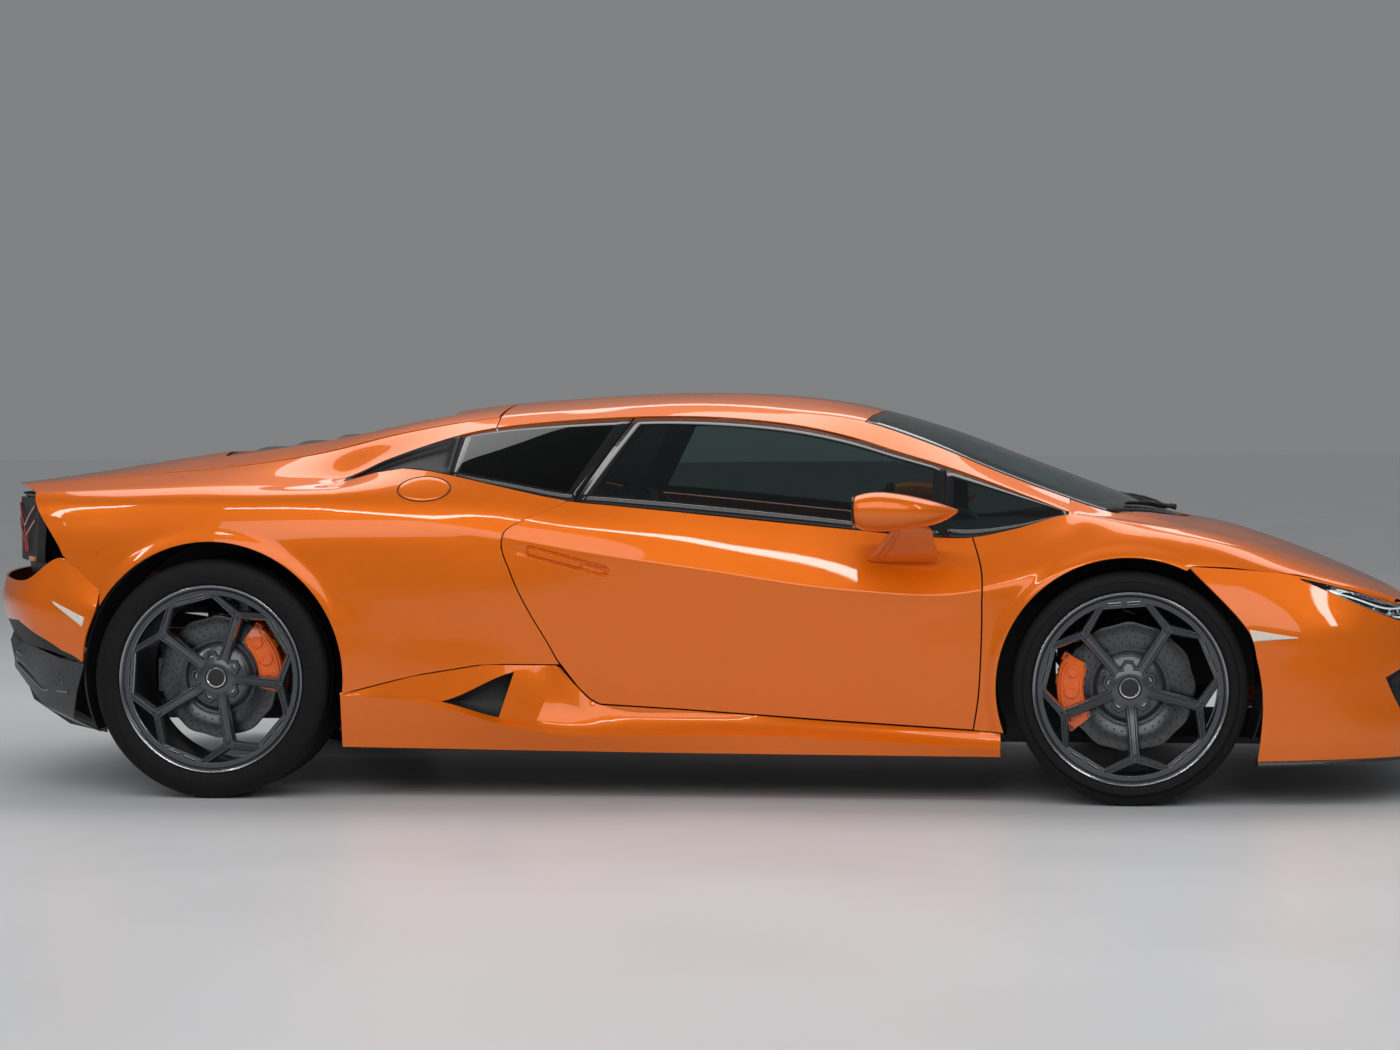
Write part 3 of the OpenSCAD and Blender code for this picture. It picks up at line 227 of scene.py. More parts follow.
def skin(x, v):
    """A point of the skin. Rows 0 to 10 are the left half, and 10 to 20 mirror them."""
    if v > TOP:
        p = skin(x, 2 * TOP - v)
        return (p[0], -p[1], p[2])
    y, z = on_section(section(x), v)
    out = 0
    if v < BELT:
        out = max(swell(x, z, ARCH_F), swell(x, z, ARCH_R)) * (1 - smooth(v - 5))
    return (x, y + out, z)


def side_y(x, z):
    return skin(x, at_height(x, z))[1]


def front_edge(y):
    """The bonnet's front edge, in plan."""
    return 2090 - 110 * (y / 730) ** 2


def tail_edge(y):
    """The deck's rear edge, in plan."""
    return -2225 + 258 * (y / 800) ** 2


def cowl_x(y):
    """The windscreen's lower edge, in plan."""
    return 1400 - 235 * (y / 700) ** 2


def header_x(y):
    """The windscreen's upper edge, in plan."""
    return 507 - 48 * (y / 530) ** 2


def arch_z(x, arch):
    """The wheel arch's height at x."""
    return arch[1] + math.sqrt(max(0, arch[2] ** 2 - (x - arch[0]) ** 2))


def edge_x(f, x, row):
    """The x at which the edge line f crosses the row line row(x)."""
    for _ in range(7):
        x = f(skin(x, row(x)))
    return x


def steps(n):
    """The shares 0 to 1 in n even steps."""
    return [i / n for i in range(n + 1)]


def turns(n, start=0.0):
    """The angles of n even steps round a circle."""
    return [start + 2 * math.pi * k / n for k in range(n)]


def power(a, p):
    """a to the power p, with a's sign kept."""
    return abs(a) ** p * (1 if a > 0 else -1)


def line_x(k, gap=0):
    """A side edge that follows the knots (z, x), moved by gap."""
    return lambda p: on(k, p[2]) + gap


def line_row(k, gap=0):
    """A row that follows the knots (x, z), raised by gap."""
    return lambda x: at_height(x, straight(k, x) + gap)


def fixed(v):
    """A row that keeps its number v along the car."""
    return lambda x: v


def patch(fa, fb, xa, xb, rows, cols):
    """Grid of skin points between the side edges fa and fb, one row for each function in rows."""
    grid = []
    for row in rows:
        a, b = edge_x(fa, xa, row), edge_x(fb, xb, row)
        grid.append([skin(lerp(a, b, s), row(lerp(a, b, s))) for s in cols])
    return grid


def between(lo, hi, n, last=False):
    """Row functions from lo to hi in n steps."""
    return [(lambda x, w=w: lerp(lo(x), hi(x), w)) for w in steps(n)[:None if last else -1]]


def through(pts, u):
    """A smooth curve through 3D points with one span to each pair."""
    n = len(pts) - 1
    i = min(n - 1, int(u))
    t = u - i
    a, b, c, d = pts[max(0, i - 1)], pts[i], pts[i + 1], pts[min(n, i + 2)]
    ma = [(c[k] - b[k]) if i == 0 else (c[k] - a[k]) / 2 for k in range(3)]
    mb = [(c[k] - b[k]) if i == n - 1 else (d[k] - b[k]) / 2 for k in range(3)]
    return tuple(hermite(b[k], c[k], ma[k], mb[k], t) for k in range(3))


# ---------- mesh helpers ----------
WELD = 0.02


def mesh_object(name, verts, faces, mats, face_mats=None):
    me = bpy.data.meshes.new(name)
    me.from_pydata([Vector(p) * MM for p in verts], [], faces)
    for m in (mats if isinstance(mats, list) else [mats]):
        me.materials.append(m)
    if face_mats:
        me.polygons.foreach_set("material_index", face_mats)
    me.polygons.foreach_set("use_smooth", [True] * len(me.polygons))
    me.update()
    ob = bpy.data.objects.new(name, me)
    scene.collection.objects.link(ob)
    return ob


class Build:
    """Collects vertices and faces with a material index each."""

    def __init__(self):
        self.v, self.f, self.m = [], [], []

    def face(self, q, mat, flip=False):
        self.f.append(q[::-1] if flip else q)
        self.m.append(mat)

    def add(self, verts, faces, mat=0):
        base = len(self.v)
        self.v.extend(verts)
        for f in faces:
            self.face(tuple(base + k for k in f), mat)
        return self

    def grid(self, g, keep=None, mat=0, flip=False, pick=None):
        """Faces over a grid whose columns run to +X and rows up, seen from outside on the left."""
        base, nc = len(self.v), len(g[0])
        for r in g:
            self.v.extend(r)
        for i in range(len(g) - 1):
            for j in range(nc - 1):
                if keep is None or keep(i, j):
                    a = base + i * nc + j
                    self.face((a, a + nc, a + nc + 1, a + 1), pick(i, j) if pick else mat, flip)
        return self

    def loft(self, rings, mat=0, caps=True, pick=None, flip=False):
        """Joins rings of equal length. Each ring runs anticlockwise seen from the last one."""
        base, n = len(self.v), len(rings[0])
        for r in rings:
            self.v.extend(r)
        for i in range(len(rings) - 1):
            for k in range(n):
                a, b = base + i * n + k, base + i * n + (k + 1) % n
                self.face((a, b, b + n, a + n), pick(i, k) if pick else mat, flip)
        if caps:
            self.face(tuple(range(base, base + n)), mat, not flip)
            self.face(tuple(range(len(self.v) - n, len(self.v))), mat, flip)
        return self

    def tube(self, path, r, n=12, mat=0, caps=True):
        """A round tube along a path. r is a radius or one to each point."""
        pts = [Vector(p) for p in path]
        rs = r if isinstance(r, list) else [r] * len(pts)
        up = Vector((0.31, 0.17, 0.93))
        rings = []
        for i, p in enumerate(pts):
            t = (pts[min(len(pts) - 1, i + 1)] - pts[max(0, i - 1)]).normalized()
            a = t.cross(up).normalized()
            b = t.cross(a)
            rings.append([tuple(p + (a * math.cos(w) + b * math.sin(w)) * rs[i]) for w in turns(n)])
        return self.loft(rings, mat, caps, flip=True)

    def ring(self, profile, n, centre, mat=0, closed=False, pick=None, wave=None):
        """Turns a profile of (radius, along) about the Y axis through centre. Outward is +Y."""
        base, k = len(self.v), len(profile)
        for a in turns(n):
            for r, y in profile:
                r += wave(a, r) if wave else 0
                self.v.append((centre[0] + r * math.cos(a), centre[1] + y, centre[2] + r * math.sin(a)))
        for i in range(n):
            this, after = base + i * k, base + (i + 1) % n * k
            for j in range(k if closed else k - 1):
                up = (j + 1) % k
                self.face((this + j, this + up, after + up, after + j), pick(i, j) if pick else mat)
        return self

    def box(self, x0, x1, y0, y1, z0, z1, mat=0):
        v = [(x, y, z) for x in (x0, x1) for y in (y0, y1) for z in (z0, z1)]
        return self.add(v, [(0, 1, 3, 2), (4, 6, 7, 5), (0, 4, 5, 1), (2, 3, 7, 6), (0, 2, 6, 4),
                            (1, 5, 7, 3)], mat)

    def prism(self, poly, y0, y1):
        """An (x, z) outline from y0 to y1."""
        n = len(poly)
        v = [(x, y0, z) for x, z in poly] + [(x, y1, z) for x, z in poly]
        f = [tuple(range(n)), tuple(range(2 * n - 1, n - 1, -1))]
        f += [(k, k + n, (k + 1) % n + n, (k + 1) % n) for k in range(n)]
        return self.add(v, f)

    def object(self, name, mats, right=False):
        """The mesh, mirrored for the right side, with points that meet welded."""
        v = [(p[0], -p[1], p[2]) for p in self.v] if right else self.v
        f = [q[::-1] for q in self.f] if right else self.f
        ob = mesh_object(name, v, f, mats, self.m)
        bm = bmesh.new()
        bm.from_mesh(ob.data)
        bmesh.ops.remove_doubles(bm, verts=bm.verts, dist=WELD * MM)
        loose = [w for w in bm.verts if not w.link_faces]
        bmesh.ops.delete(bm, geom=loose, context="VERTS")
        bm.to_mesh(ob.data)
        bm.free()
        return ob


def recalc(ob):
    """Turns a closed mesh's faces outward."""
    bm = bmesh.new()
    bm.from_mesh(ob.data)
    bmesh.ops.recalc_face_normals(bm, faces=bm.faces)
    bm.to_mesh(ob.data)
    bm.free()
    return ob


def round_edges(ob, width, angle=35, segments=2):
    """Rounds the edges that are sharper than angle degrees."""
    b = ob.modifiers.new("edges", "BEVEL")
    b.width, b.segments, b.limit_method = width * MM, segments, "ANGLE"
    b.angle_limit = math.radians(angle)
    b.harden_normals = True


def rounded(width, angle=35, segments=2):
    """A finish with rounded edges alone."""
    return lambda ob: round_edges(ob, width, angle, segments)


def solid(width=0, angle=35, segments=2):
    """A finish for closed shapes: faces turned outward, then rounded edges."""
    def finish(ob):
        recalc(ob)
        if width:
            round_edges(ob, width, angle, segments)
    return finish


def skinned(t, width=0, angle=42):
    """A finish that gives a skin its thickness inward and rounds its cut edges."""
    def finish(ob):
        m = ob.modifiers.new("thickness", "SOLIDIFY")
        m.thickness, m.offset, m.use_even_offset = t * MM, -1, False
        if width:
            round_edges(ob, width, angle)
    return finish


def sheet(t):
    """A finish that gives a thin lining its thickness."""
    def finish(ob):
        ob.modifiers.new("thickness", "SOLIDIFY").thickness = t * MM
    return finish


def part(ob, body, nodes=()):
    """Puts a piece on its body and hides the CAD nodes that it stands for."""
    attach(ob, body)
    if nodes:
        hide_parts(*nodes)
    return ob


def piece(build, name, mats, body, nodes=(), finish=None, right=False):
    """Makes one piece from a build, finishes it and puts it on its body."""
    ob = build.object(name, mats, right)
    if finish:
        finish(ob)
    return part(ob, body, nodes)


def pair(build, name, mats, bodies, node=None, finish=None):
    """A left and a right piece from one build of the left one."""
    for k, s in enumerate(SIDES):
        body = bodies if isinstance(bodies, str) else bodies[k]
        nodes = [f"{s}_{node}"] if node else []
        piece(build, f"{s}_{name}", mats, body, nodes, finish, right=k == 1)


# ---------- materials ----------
def add_node(m, kind, values=(), feeds=()):
    """A shader node with input values and with outputs linked into its inputs."""
    node = m.node_tree.nodes.new(f"ShaderNode{kind}")
    set_inputs(m, node, values, feeds)
    return node


def set_inputs(m, node, values=(), feeds=()):
    """Sets a node's inputs by value or by a link from another node's output."""
    for key, value in dict(values).items():
        node.inputs[key].default_value = value
    for key, output in dict(feeds).items():
        m.node_tree.links.new(output, node.inputs[key])


def texture(m, kind, values):
    """A procedural texture in the object's own coordinates."""
    at = add_node(m, "TexCoord").outputs["Object"]
    return add_node(m, f"Tex{kind}", values, {"Vector": at})


def noise(m, scale, detail=3):
    """A noise texture's value."""
    return texture(m, "Noise", {"Scale": scale, "Detail": detail}).outputs["Fac"]


def ramp(m, source, lo, hi, a, b):
    """Maps source from lo..hi to a..b."""
    limits = {"From Min": lo, "From Max": hi, "To Min": a, "To Max": b}
    return add_node(m, "MapRange", limits, {"Value": source}).outputs["Result"]


def relief(m, height, strength, distance):
    """The normal of a fine relief."""
    return add_node(m, "Bump", {"Strength": strength, "Distance": distance},
                    {"Height": height}).outputs["Normal"]


def relief_source(m, kind, scale):
    """The height for a relief: noise, cells, or waves with kind as their direction."""
    if kind == "noise":
        return noise(m, scale, 4)
    if kind == "cells":
        return texture(m, "Voronoi", {"Scale": scale}).outputs["Distance"]
    wave = texture(m, "Wave", {"Scale": scale, "Distortion": 0.4})
    wave.bands_direction = kind
    return wave.outputs["Fac"]


def material(name, base, rough, metal=0.0, coat=0.0, coat_rough=0.05, transmission=0.0, ior=1.45,
             spot=0.06, spot_scale=40, rough_var=0.08, rough_scale=90, bump=0.1, bump_scale=400,
             bump_kind="noise", emit=None, sheen=0.0, aniso=0.0, specular=0.5):
    """A Principled surface with its colour and roughness varied by noise and a fine relief."""
    m = bpy.data.materials.new(name)
    m.use_nodes = True
    bsdf = m.node_tree.nodes["Principled BSDF"]
    set_inputs(m, bsdf, {
        "Base Color": (*base, 1), "Roughness": rough, "Metallic": metal, "Coat Weight": coat,
        "Coat Roughness": coat_rough, "Transmission Weight": transmission, "IOR": ior,
        "Sheen Weight": sheen, "Specular IOR Level": specular, "Anisotropic": aniso})
    if emit:
        set_inputs(m, bsdf, {"Emission Color": (*emit[0], 1), "Emission Strength": emit[1]})
    if spot:
        mixer = add_node(m, "Mix")
        mixer.data_type = "RGBA"
        mixer.inputs[6].default_value = (*[c * (1 - spot) for c in base], 1)
        mixer.inputs[7].default_value = (*[min(1, c * (1 + spot) + 0.004 * spot) for c in base], 1)
        m.node_tree.links.new(noise(m, spot_scale), mixer.inputs[0])
        set_inputs(m, bsdf, feeds={"Base Color": mixer.outputs[2]})
    if rough_var:
        lo, hi = max(0.01, rough - rough_var / 2), min(1, rough + rough_var / 2)
        set_inputs(m, bsdf, feeds={"Roughness": ramp(m, noise(m, rough_scale), 0.3, 0.7, lo, hi)})
    if bump:
        height = relief_source(m, bump_kind, bump_scale)
        set_inputs(m, bsdf, feeds={"Normal": relief(m, height, bump, 0.001)})
    return m


def paint_material(name, base):
    """Gloss paint: a coloured base with fine flakes and orange peel under a clear coat."""
    m = material(name, base, 0.36, coat=1.0, coat_rough=0.025, spot=0.035, spot_scale=6,
                 rough_var=0.06, rough_scale=30, bump=0, specular=0.15)
    flakes = texture(m, "Voronoi", {"Scale": 2600}).outputs["Distance"]
    set_inputs(m, m.node_tree.nodes["Principled BSDF"], feeds={
        "Metallic": ramp(m, flakes, 0.0, 1.0, 0.22, 0.46),
        "Coat Normal": relief(m, noise(m, 260, 1), 0.02, 0.0006)})
    return m


PAINT = paint_material("orange_paint", (0.78, 0.15, 0.0012))
BLACK_GLOSS = material("black_gloss", (0.008, 0.008, 0.009), 0.12, coat=0.6, spot=0.2, bump=0.02)
BLACK = material("black_plastic", (0.018, 0.018, 0.019), 0.55, spot=0.15, bump=0.25, bump_scale=900)
RUBBER = material("seal_rubber", (0.012, 0.012, 0.012), 0.7, spot=0.15, bump=0.15)
GLASS = material("tinted_glass", (0.235, 0.29, 0.28), 0.01, transmission=1.0, ior=1.45, spot=0.03,
                 spot_scale=3, rough_var=0.01, rough_scale=5, bump=0)
DARK_GLASS = material("dark_glass", (0.02, 0.024, 0.024), 0.01, transmission=1.0, ior=1.45,
                      spot=0.03, spot_scale=3, rough_var=0.01, rough_scale=5, bump=0)
LENS = material("lamp_lens", (0.85, 0.87, 0.88), 0.01, transmission=1.0, ior=1.35, spot=0.02,
                rough_var=0.01, bump=0)
LAMP_WHITE = material("lamp_white", (0.8, 0.82, 0.85), 0.25, spot=0.05, bump=0.3, bump_scale=500,
                      bump_kind="X", emit=((0.9, 0.95, 1.0), 0.6))
RED_LAMP = material("red_lamp", (0.16, 0.005, 0.004), 0.12, coat=0.8, spot=0.15, bump=0.4,
                    bump_scale=160, bump_kind="Z", emit=((0.8, 0.02, 0.01), 0.03))
AMBER = material("amber_lamp", (0.75, 0.22, 0.02), 0.15, coat=0.8, spot=0.1, bump=0.2)
MARKER = material("marker_lens", (0.72, 0.66, 0.58), 0.12, coat=0.7, spot=0.08, bump=0.25,
                  bump_scale=300, bump_kind="X")
CHROME = material("bright_metal", (0.62, 0.63, 0.65), 0.12, metal=1.0, spot=0.05, bump=0.03)
ALLOY = material("gunmetal", (0.092, 0.101, 0.108), 0.30, metal=0.8, coat=0.5, spot=0.06,
                 rough_var=0.04, bump=0.02, bump_scale=1500)
# A lighter metal for the wheels' bevels and lip edges: a painted highlight on them.
EDGE_HIGHLIGHT_METAL = material("painted_edge_highlight", (0.34, 0.35, 0.37), 0.22, metal=0.95, coat=0.4, spot=0.08,
                      bump=0.06, bump_scale=900)
IRON = material("brake_iron", (0.105, 0.107, 0.11), 0.30, metal=1.0, spot=0.1, bump=0.15,
                bump_scale=700, aniso=0.4)
HAT = material("disc_hat", (0.10, 0.103, 0.108), 0.38, metal=0.9, spot=0.08, bump=0.1)
PLATE = material("blank_plate_white", (0.55, 0.56, 0.56), 0.4, spot=0.06, bump=0.05)
CALIPER = material("caliper_paint", (0.80, 0.12, 0.004), 0.28, coat=0.8, spot=0.06, bump=0.12,
                   bump_scale=700)
TYRE = material("tyre_rubber", (0.005, 0.005, 0.0055), 0.66, spot=0.25, rough_var=0.14, bump=0.3,
                bump_scale=700, specular=0.25)
CAST = material("cast_metal", (0.22, 0.225, 0.235), 0.45, metal=0.85, spot=0.12, bump=0.35,
                bump_scale=500)
STEEL = material("steel", (0.30, 0.30, 0.31), 0.25, metal=1.0, spot=0.12, bump=0.1)
STRUCTURE = material("structure", (0.045, 0.047, 0.05), 0.5, metal=0.4, spot=0.15, bump=0.25)
CARBON = material("woven_trim", (0.02, 0.021, 0.022), 0.3, coat=0.7, spot=0.2, bump=0.5,
                  bump_scale=230, bump_kind="DIAGONAL")
LEATHER = material("black_leather", (0.022, 0.022, 0.023), 0.5, spot=0.2, bump=0.5, bump_scale=420,
                   bump_kind="cells", sheen=0.15)
ORANGE_LEATHER = material("orange_leather", (0.55, 0.13, 0.02), 0.46, spot=0.12, bump=0.5,
                          bump_scale=420, bump_kind="cells", sheen=0.15)
STITCH = material("stitching", (0.80, 0.28, 0.05), 0.7, spot=0.2, bump=0.4, bump_scale=2000)
SCREEN = material("screen_glass", (0.01, 0.012, 0.016), 0.08, coat=0.8, spot=0.2, bump=0.01)
CARPET = material("carpet", (0.02, 0.02, 0.021), 0.95, spot=0.4, spot_scale=300, bump=1.0,
                  bump_scale=1400, sheen=0.4)
MESH = material("mesh_grille", (0.015, 0.015, 0.016), 0.45, metal=0.3, spot=0.2, bump=0.4)
SLOTS = {"structure": STRUCTURE, "black_plastic": BLACK, "trim": LEATHER, "engine_metal": CAST,
         "steel": STEEL, "wiper_black": RUBBER, "tyre": TYRE, "rim_metal": ALLOY,
         "disc_iron": IRON, "glass": GLASS, "lamp_glass": LENS, "paint": PAINT,
         "seat_leather": LEATHER, "wheel_leather": LEATHER}
for sub in frame["record"]["subparts"]:
    cad = frame["nodes"][sub["node"]]
    cad.data.materials.clear()
    cad.data.materials.append(SLOTS[sub["material_slot"]])


# ---------- body shells ----------
GAP = 2.0
PILLAR_X = 1056
PANEL, WIDE_PANEL, BUMPER = skinned(4, 1.1), skinned(5, 1.1), skinned(7, 1.4)
DOORS = ("left_door", "right_door")


def arch_grid(ahead, door, far, far_x, low, split, arch, leg_rows, leg_cols, arch_cols, up_rows):
    """Rows of points for a panel over a wheel arch, with a leg down to the sill beside the door.

    ahead is 1 for an arch ahead of the door and -1 for one behind it. door and far are the side edges,
    low is the lower edge's height, and split is the height up to which the leg has rows of its own.
    """
    cx, cz, r = arch
    xs = cx - ahead * math.sqrt(r * r - (split - cz) ** 2)
    x0 = xs - ahead * 60

    def foot(x):
        top = 0 if ahead * (x - xs) <= 0 else arch_z(x, arch)
        return at_height(x, max(split, low(x), top))

    def arch_side(p):
        return cx - ahead * math.sqrt(max(0, r * r - (min(p[2], split) - cz) ** 2))

    def leg_top(x):
        return at_height(x, split)

    def sill(x):
        return at_height(x, low(x))

    def share(j):
        t = (j - leg_cols) / arch_cols
        return 0.42 * (1 - math.cos(math.pi / 2 * t)) + 0.58 * t

    grid = []
    for i in range(leg_rows):
        def row(x, w=i / leg_rows):
            return lerp(sill(x), leg_top(x), w)
        xd, xa = edge_x(door, x0, row), edge_x(arch_side, xs, row)
        grid.append([skin(x, row(x)) for x in
                     [lerp(xd, xa, min(1, j / leg_cols)) for j in range(leg_cols + arch_cols + 1)]])
    for i in range(up_rows + 1):
        def row(x, w=i / up_rows):
            return lerp(foot(x), BELT, w)
        xd, xf = edge_x(door, x0, row), edge_x(far, far_x, row)
        grid.append([skin(x, row(x)) for x in
                     [lerp(xd, xs, j / leg_cols) if j <= leg_cols else lerp(xs, xf, share(j))
                      for j in range(leg_cols + arch_cols + 1)]])
    return grid


def extend_up(grid, far, far_x, stops, n):
    """Rows above a grid's last one, with its columns kept in proportion."""
    last = grid[-1]
    a, b = last[0][0], last[-1][0]
    out = [last]
    for k in range(len(stops) - 1):
        for i in range(1, n[k] + 1):
            v = lerp(stops[k], stops[k + 1], i / n[k])
            xf = edge_x(far, far_x, fixed(v))
            out.append([skin(lerp(a, xf, (p[0] - a) / (b - a)), v) for p in last])
    return out


# front fender
LEG_ROWS, LEG_COLS, ARCH_COLS, UP_ROWS = 16, 8, 64, 30
FENDER_SPLIT, QUARTER_SPLIT = 470, 480


def fender_edge(p):
    return front_edge(p[1]) - 1.5


fender_low = arch_grid(
    1, line_x(DOOR_FRONT, GAP), fender_edge, 2050,
    lambda x: max(straight(FENDER_FRONT, x) + 1.5 if x > 1380 else 0, straight(SILL_LINE, x) + 1.5),
    FENDER_SPLIT, ARCH_F, LEG_ROWS, LEG_COLS, ARCH_COLS, UP_ROWS)
fender = Build().grid(fender_low, keep=lambda i, j: i >= LEG_ROWS or j < LEG_COLS)
fender_top = extend_up(fender_low, fender_edge, 2050, [BELT, RAIL, DECK - 0.03], [8, 10])
fender.grid(fender_top, keep=lambda i, j: fender_top[0][j][0] > PILLAR_X - 8)
pair(fender, "front_fender_skin", PAINT, "chassis", "front_fender", PANEL)

# door
HANDLE = [(-491, 715), (-247, 649)]


def handle_depth(p):
    """Depth of the recess round the door handle, from the distance to a slanted rounded bar."""
    (ax, az), (bx, bz) = HANDLE
    length = math.dist(*HANDLE)
    ux, uz = (bx - ax) / length, (bz - az) / length
    cx, cz = (ax + bx) / 2, (az + bz) / 2
    dx, dz = p[0] - cx, p[2] - cz
    u, v = dx * ux + dz * uz, -dx * uz + dz * ux
    half, tall = length / 2 - 18, 15
    d = math.hypot(max(0, abs(u) - half), v) - tall
    groove = 7 * smooth((1.5 - d) / 2.5)
    grip = smooth((-5.0 - d) / 2.5)
    hollow = 11 * smooth((u - half * 0.35) / 8) * smooth((-6.0 - d) / 4)
    return groove * (1 - grip) - 2.5 * grip + hollow


door_lo = line_row(SILL_LINE, 3.5)
door_rows = (between(door_lo, fixed(3.25), 14) + between(fixed(3.25), fixed(4), 34)
             + between(fixed(4), fixed(4.3), 5) + between(fixed(4.3), fixed(5.99), 17, True))
door_cols = ([0.03 * k for k in range(2)] + [0.05 + 0.0034 * k for k in range(72)]
             + [0.2948 + 0.7052 * k / 40 for k in range(41)])
door_grid = patch(line_x(DOOR_REAR, GAP), line_x(DOOR_FRONT, -GAP), -400, 790, door_rows, door_cols)


def sunk(grid, depth):
    """Moves points inward along the grid's own normals by depth(point)."""
    out = []
    for i, r in enumerate(grid):
        row = []
        for j, p in enumerate(r):
            d = depth(p)
            if abs(d) < 1e-6:
                row.append(p)
                continue
            u = Vector(r[min(len(r) - 1, j + 1)]) - Vector(r[max(0, j - 1)])
            w = Vector(grid[min(len(grid) - 1, i + 1)][j]) - Vector(grid[max(0, i - 1)][j])
            row.append(tuple(Vector(p) + u.cross(w).normalized() * d))
        out.append(row)
    return out


door = Build().grid(sunk(door_grid, handle_depth))
pair(door, "door_skin", PAINT, DOORS, "door", PANEL)

# rear quarter, with its lower grid's rear corner made as a patch of its own
TIP_X = -1046
CORNER_X0, CORNER_X1, CORNER_Z0, CORNER_Z1 = -1812, -1732, 600, 705
quarter_low = [r[::-1] for r in arch_grid(
    -1, line_x(DOOR_REAR, -GAP), line_x(QUARTER_REAR), -1900,
    lambda x: straight(SILL_LINE, min(x, -404)) + 2,
    QUARTER_SPLIT, ARCH_R, LEG_ROWS, LEG_COLS, ARCH_COLS, UP_ROWS)]


def crossed(i, j):
    """Whether a cell by the quarter's rear corner is folded over itself."""
    a, b, c, d = (quarter_low[i + m][j + n] for m, n in ((0, 0), (0, 1), (1, 1), (1, 0)))
    sides = [(q[0] - p[0]) * (r[2] - p[2]) - (q[2] - p[2]) * (r[0] - p[0])
             for p, q, r in ((a, b, c), (a, c, d))]
    return CORNER_X0 < a[0] < CORNER_X1 and a[2] > CORNER_Z0 and min(sides) < 0


quarter = Build().grid(
    quarter_low, keep=lambda i, j: (i >= LEG_ROWS or j >= ARCH_COLS) and not crossed(i, j))


def quarter_corner(x, t):
    """A point of the corner between the quarter's rear edge and its wheel arch, just under the skin."""
    low = max(straight(sorted((c, z) for z, c in QUARTER_REAR), x), arch_z(x, ARCH_R) + 1)
    p = skin(x, at_height(x, lerp(low, CORNER_Z1, t)))
    return (p[0], p[1] - 0.5, p[2])


quarter.grid([[quarter_corner(CORNER_X0 + 4 * k, t) for k in range(23)] for t in steps(12)])


def tail_line(p):
    return tail_edge(p[1]) + 2


quarter.grid(patch(tail_line, lambda p: TIP_X, -2000, TIP_X,
                   between(fixed(BELT), fixed(RAIL), 7)
                   + between(fixed(RAIL), fixed(DECK - 0.03), 10, True), steps(46)))
quarter.grid(patch(lambda p: TIP_X, lambda p: ROOF_REAR - 1.5, TIP_X, -640,
                   between(fixed(RAIL), fixed(DECK - 0.03), 10, True), steps(24)))
pair(quarter, "rear_quarter_skin", PAINT, "chassis", "rear_quarter", PANEL)

# roof with its windscreen pillars, which are the outer rows ahead of the header
ROOF_COLS, PILLAR_ROWS = 44, 8
roof_rows = ([RAIL + k / 8 for k in range(8)] + [DECK + k / 10 for k in range(41)]
             + [12.125 + k / 8 for k in range(8)])
roof_grid = []
for v in roof_rows:
    b = edge_x(lambda p: header_x(p[1]), 500, fixed(v))
    c = min(edge_x(lambda p: cowl_x(p[1]) + 2, 1200, fixed(v)), PILLAR_X)
    roof_grid.append([skin(lerp(ROOF_REAR + 1.5, b, s), v) for s in steps(ROOF_COLS)]
                     + [skin(lerp(b, c, s), v) for s in steps(26)[1:]])
middle_rows = range(PILLAR_ROWS, len(roof_rows) - 1 - PILLAR_ROWS)
roof = Build().grid(roof_grid, keep=lambda i, j: j < ROOF_COLS or i not in middle_rows)
piece(roof, "roof_skin", PAINT, "chassis", ["roof"], WIDE_PANEL)

# bonnet
bonnet_rows = ([8.02 + 0.98 * k / 10 for k in range(10)] + [9 + k / 10 for k in range(21)]
               + [11 + 0.98 * (k + 1) / 10 for k in range(10)])
bonnet_grid = patch(lambda p: cowl_x(p[1]) + 26, lambda p: front_edge(p[1]) - 4, 1300, 2000,
                    [fixed(v) for v in bonnet_rows], steps(48))
piece(Build().grid(bonnet_grid), "bonnet_skin", PAINT, "bonnet", ["bonnet"], WIDE_PANEL)

# engine cover with a louvred middle
LOUVRE_X = (-1560, -800)
LOUVRE_V = (8.62, 11.38)
LOUVRE_ROWS = [lerp(*LOUVRE_V, t) for t in steps(24)]
cover_rows = ([8.03 + 0.59 * k / 6 for k in range(6)] + LOUVRE_ROWS
              + [LOUVRE_V[1] + 0.59 * (k + 1) / 6 for k in range(6)])
cover_cols = sorted(set(steps(56) + [0.4295, 0.9]))
cover_grid = patch(lambda p: tail_edge(p[1]) + 6, lambda p: ROOF_REAR - 8, -2000, -700,
                   [fixed(v) for v in cover_rows], cover_cols)
cover = Build().grid(cover_grid, keep=lambda i, j: not (6 <= i < 30 and 0.42 < cover_cols[j] < 0.89))
piece(cover, "engine_cover_skin", PAINT, "engine_cover", ["engine_cover"], WIDE_PANEL)


# ---------- glass ----------
def pane(grid):
    """A pane with a black border one cell wide, 1 mm in from the skin."""
    rows, cols = len(grid) - 2, len(grid[0]) - 2
    return Build().grid(sunk(grid, lambda p: 1.0),
                        pick=lambda i, j: int(i in (0, rows) or j in (0, cols)))


def window(name, grid, bodies, node=None, glass=GLASS):
    pair(pane(grid), name, [glass, BLACK_GLOSS], bodies, node, skinned(4))


def pillar_x(p):
    return lerp(-372, -215, (p[2] - 830) / 260)


def border(n, width, total):
    """Shares across a pane with one cell of the border's width at each end."""
    w = width / total
    return [0] + [lerp(w, 1 - w, k / n) for k in range(n + 1)] + [1]


def pane_rows(n, share, lo, hi):
    return [fixed(v) for v in [lo] + [lerp(lo + share, hi - share, k / n) for k in range(n + 1)] + [hi]]


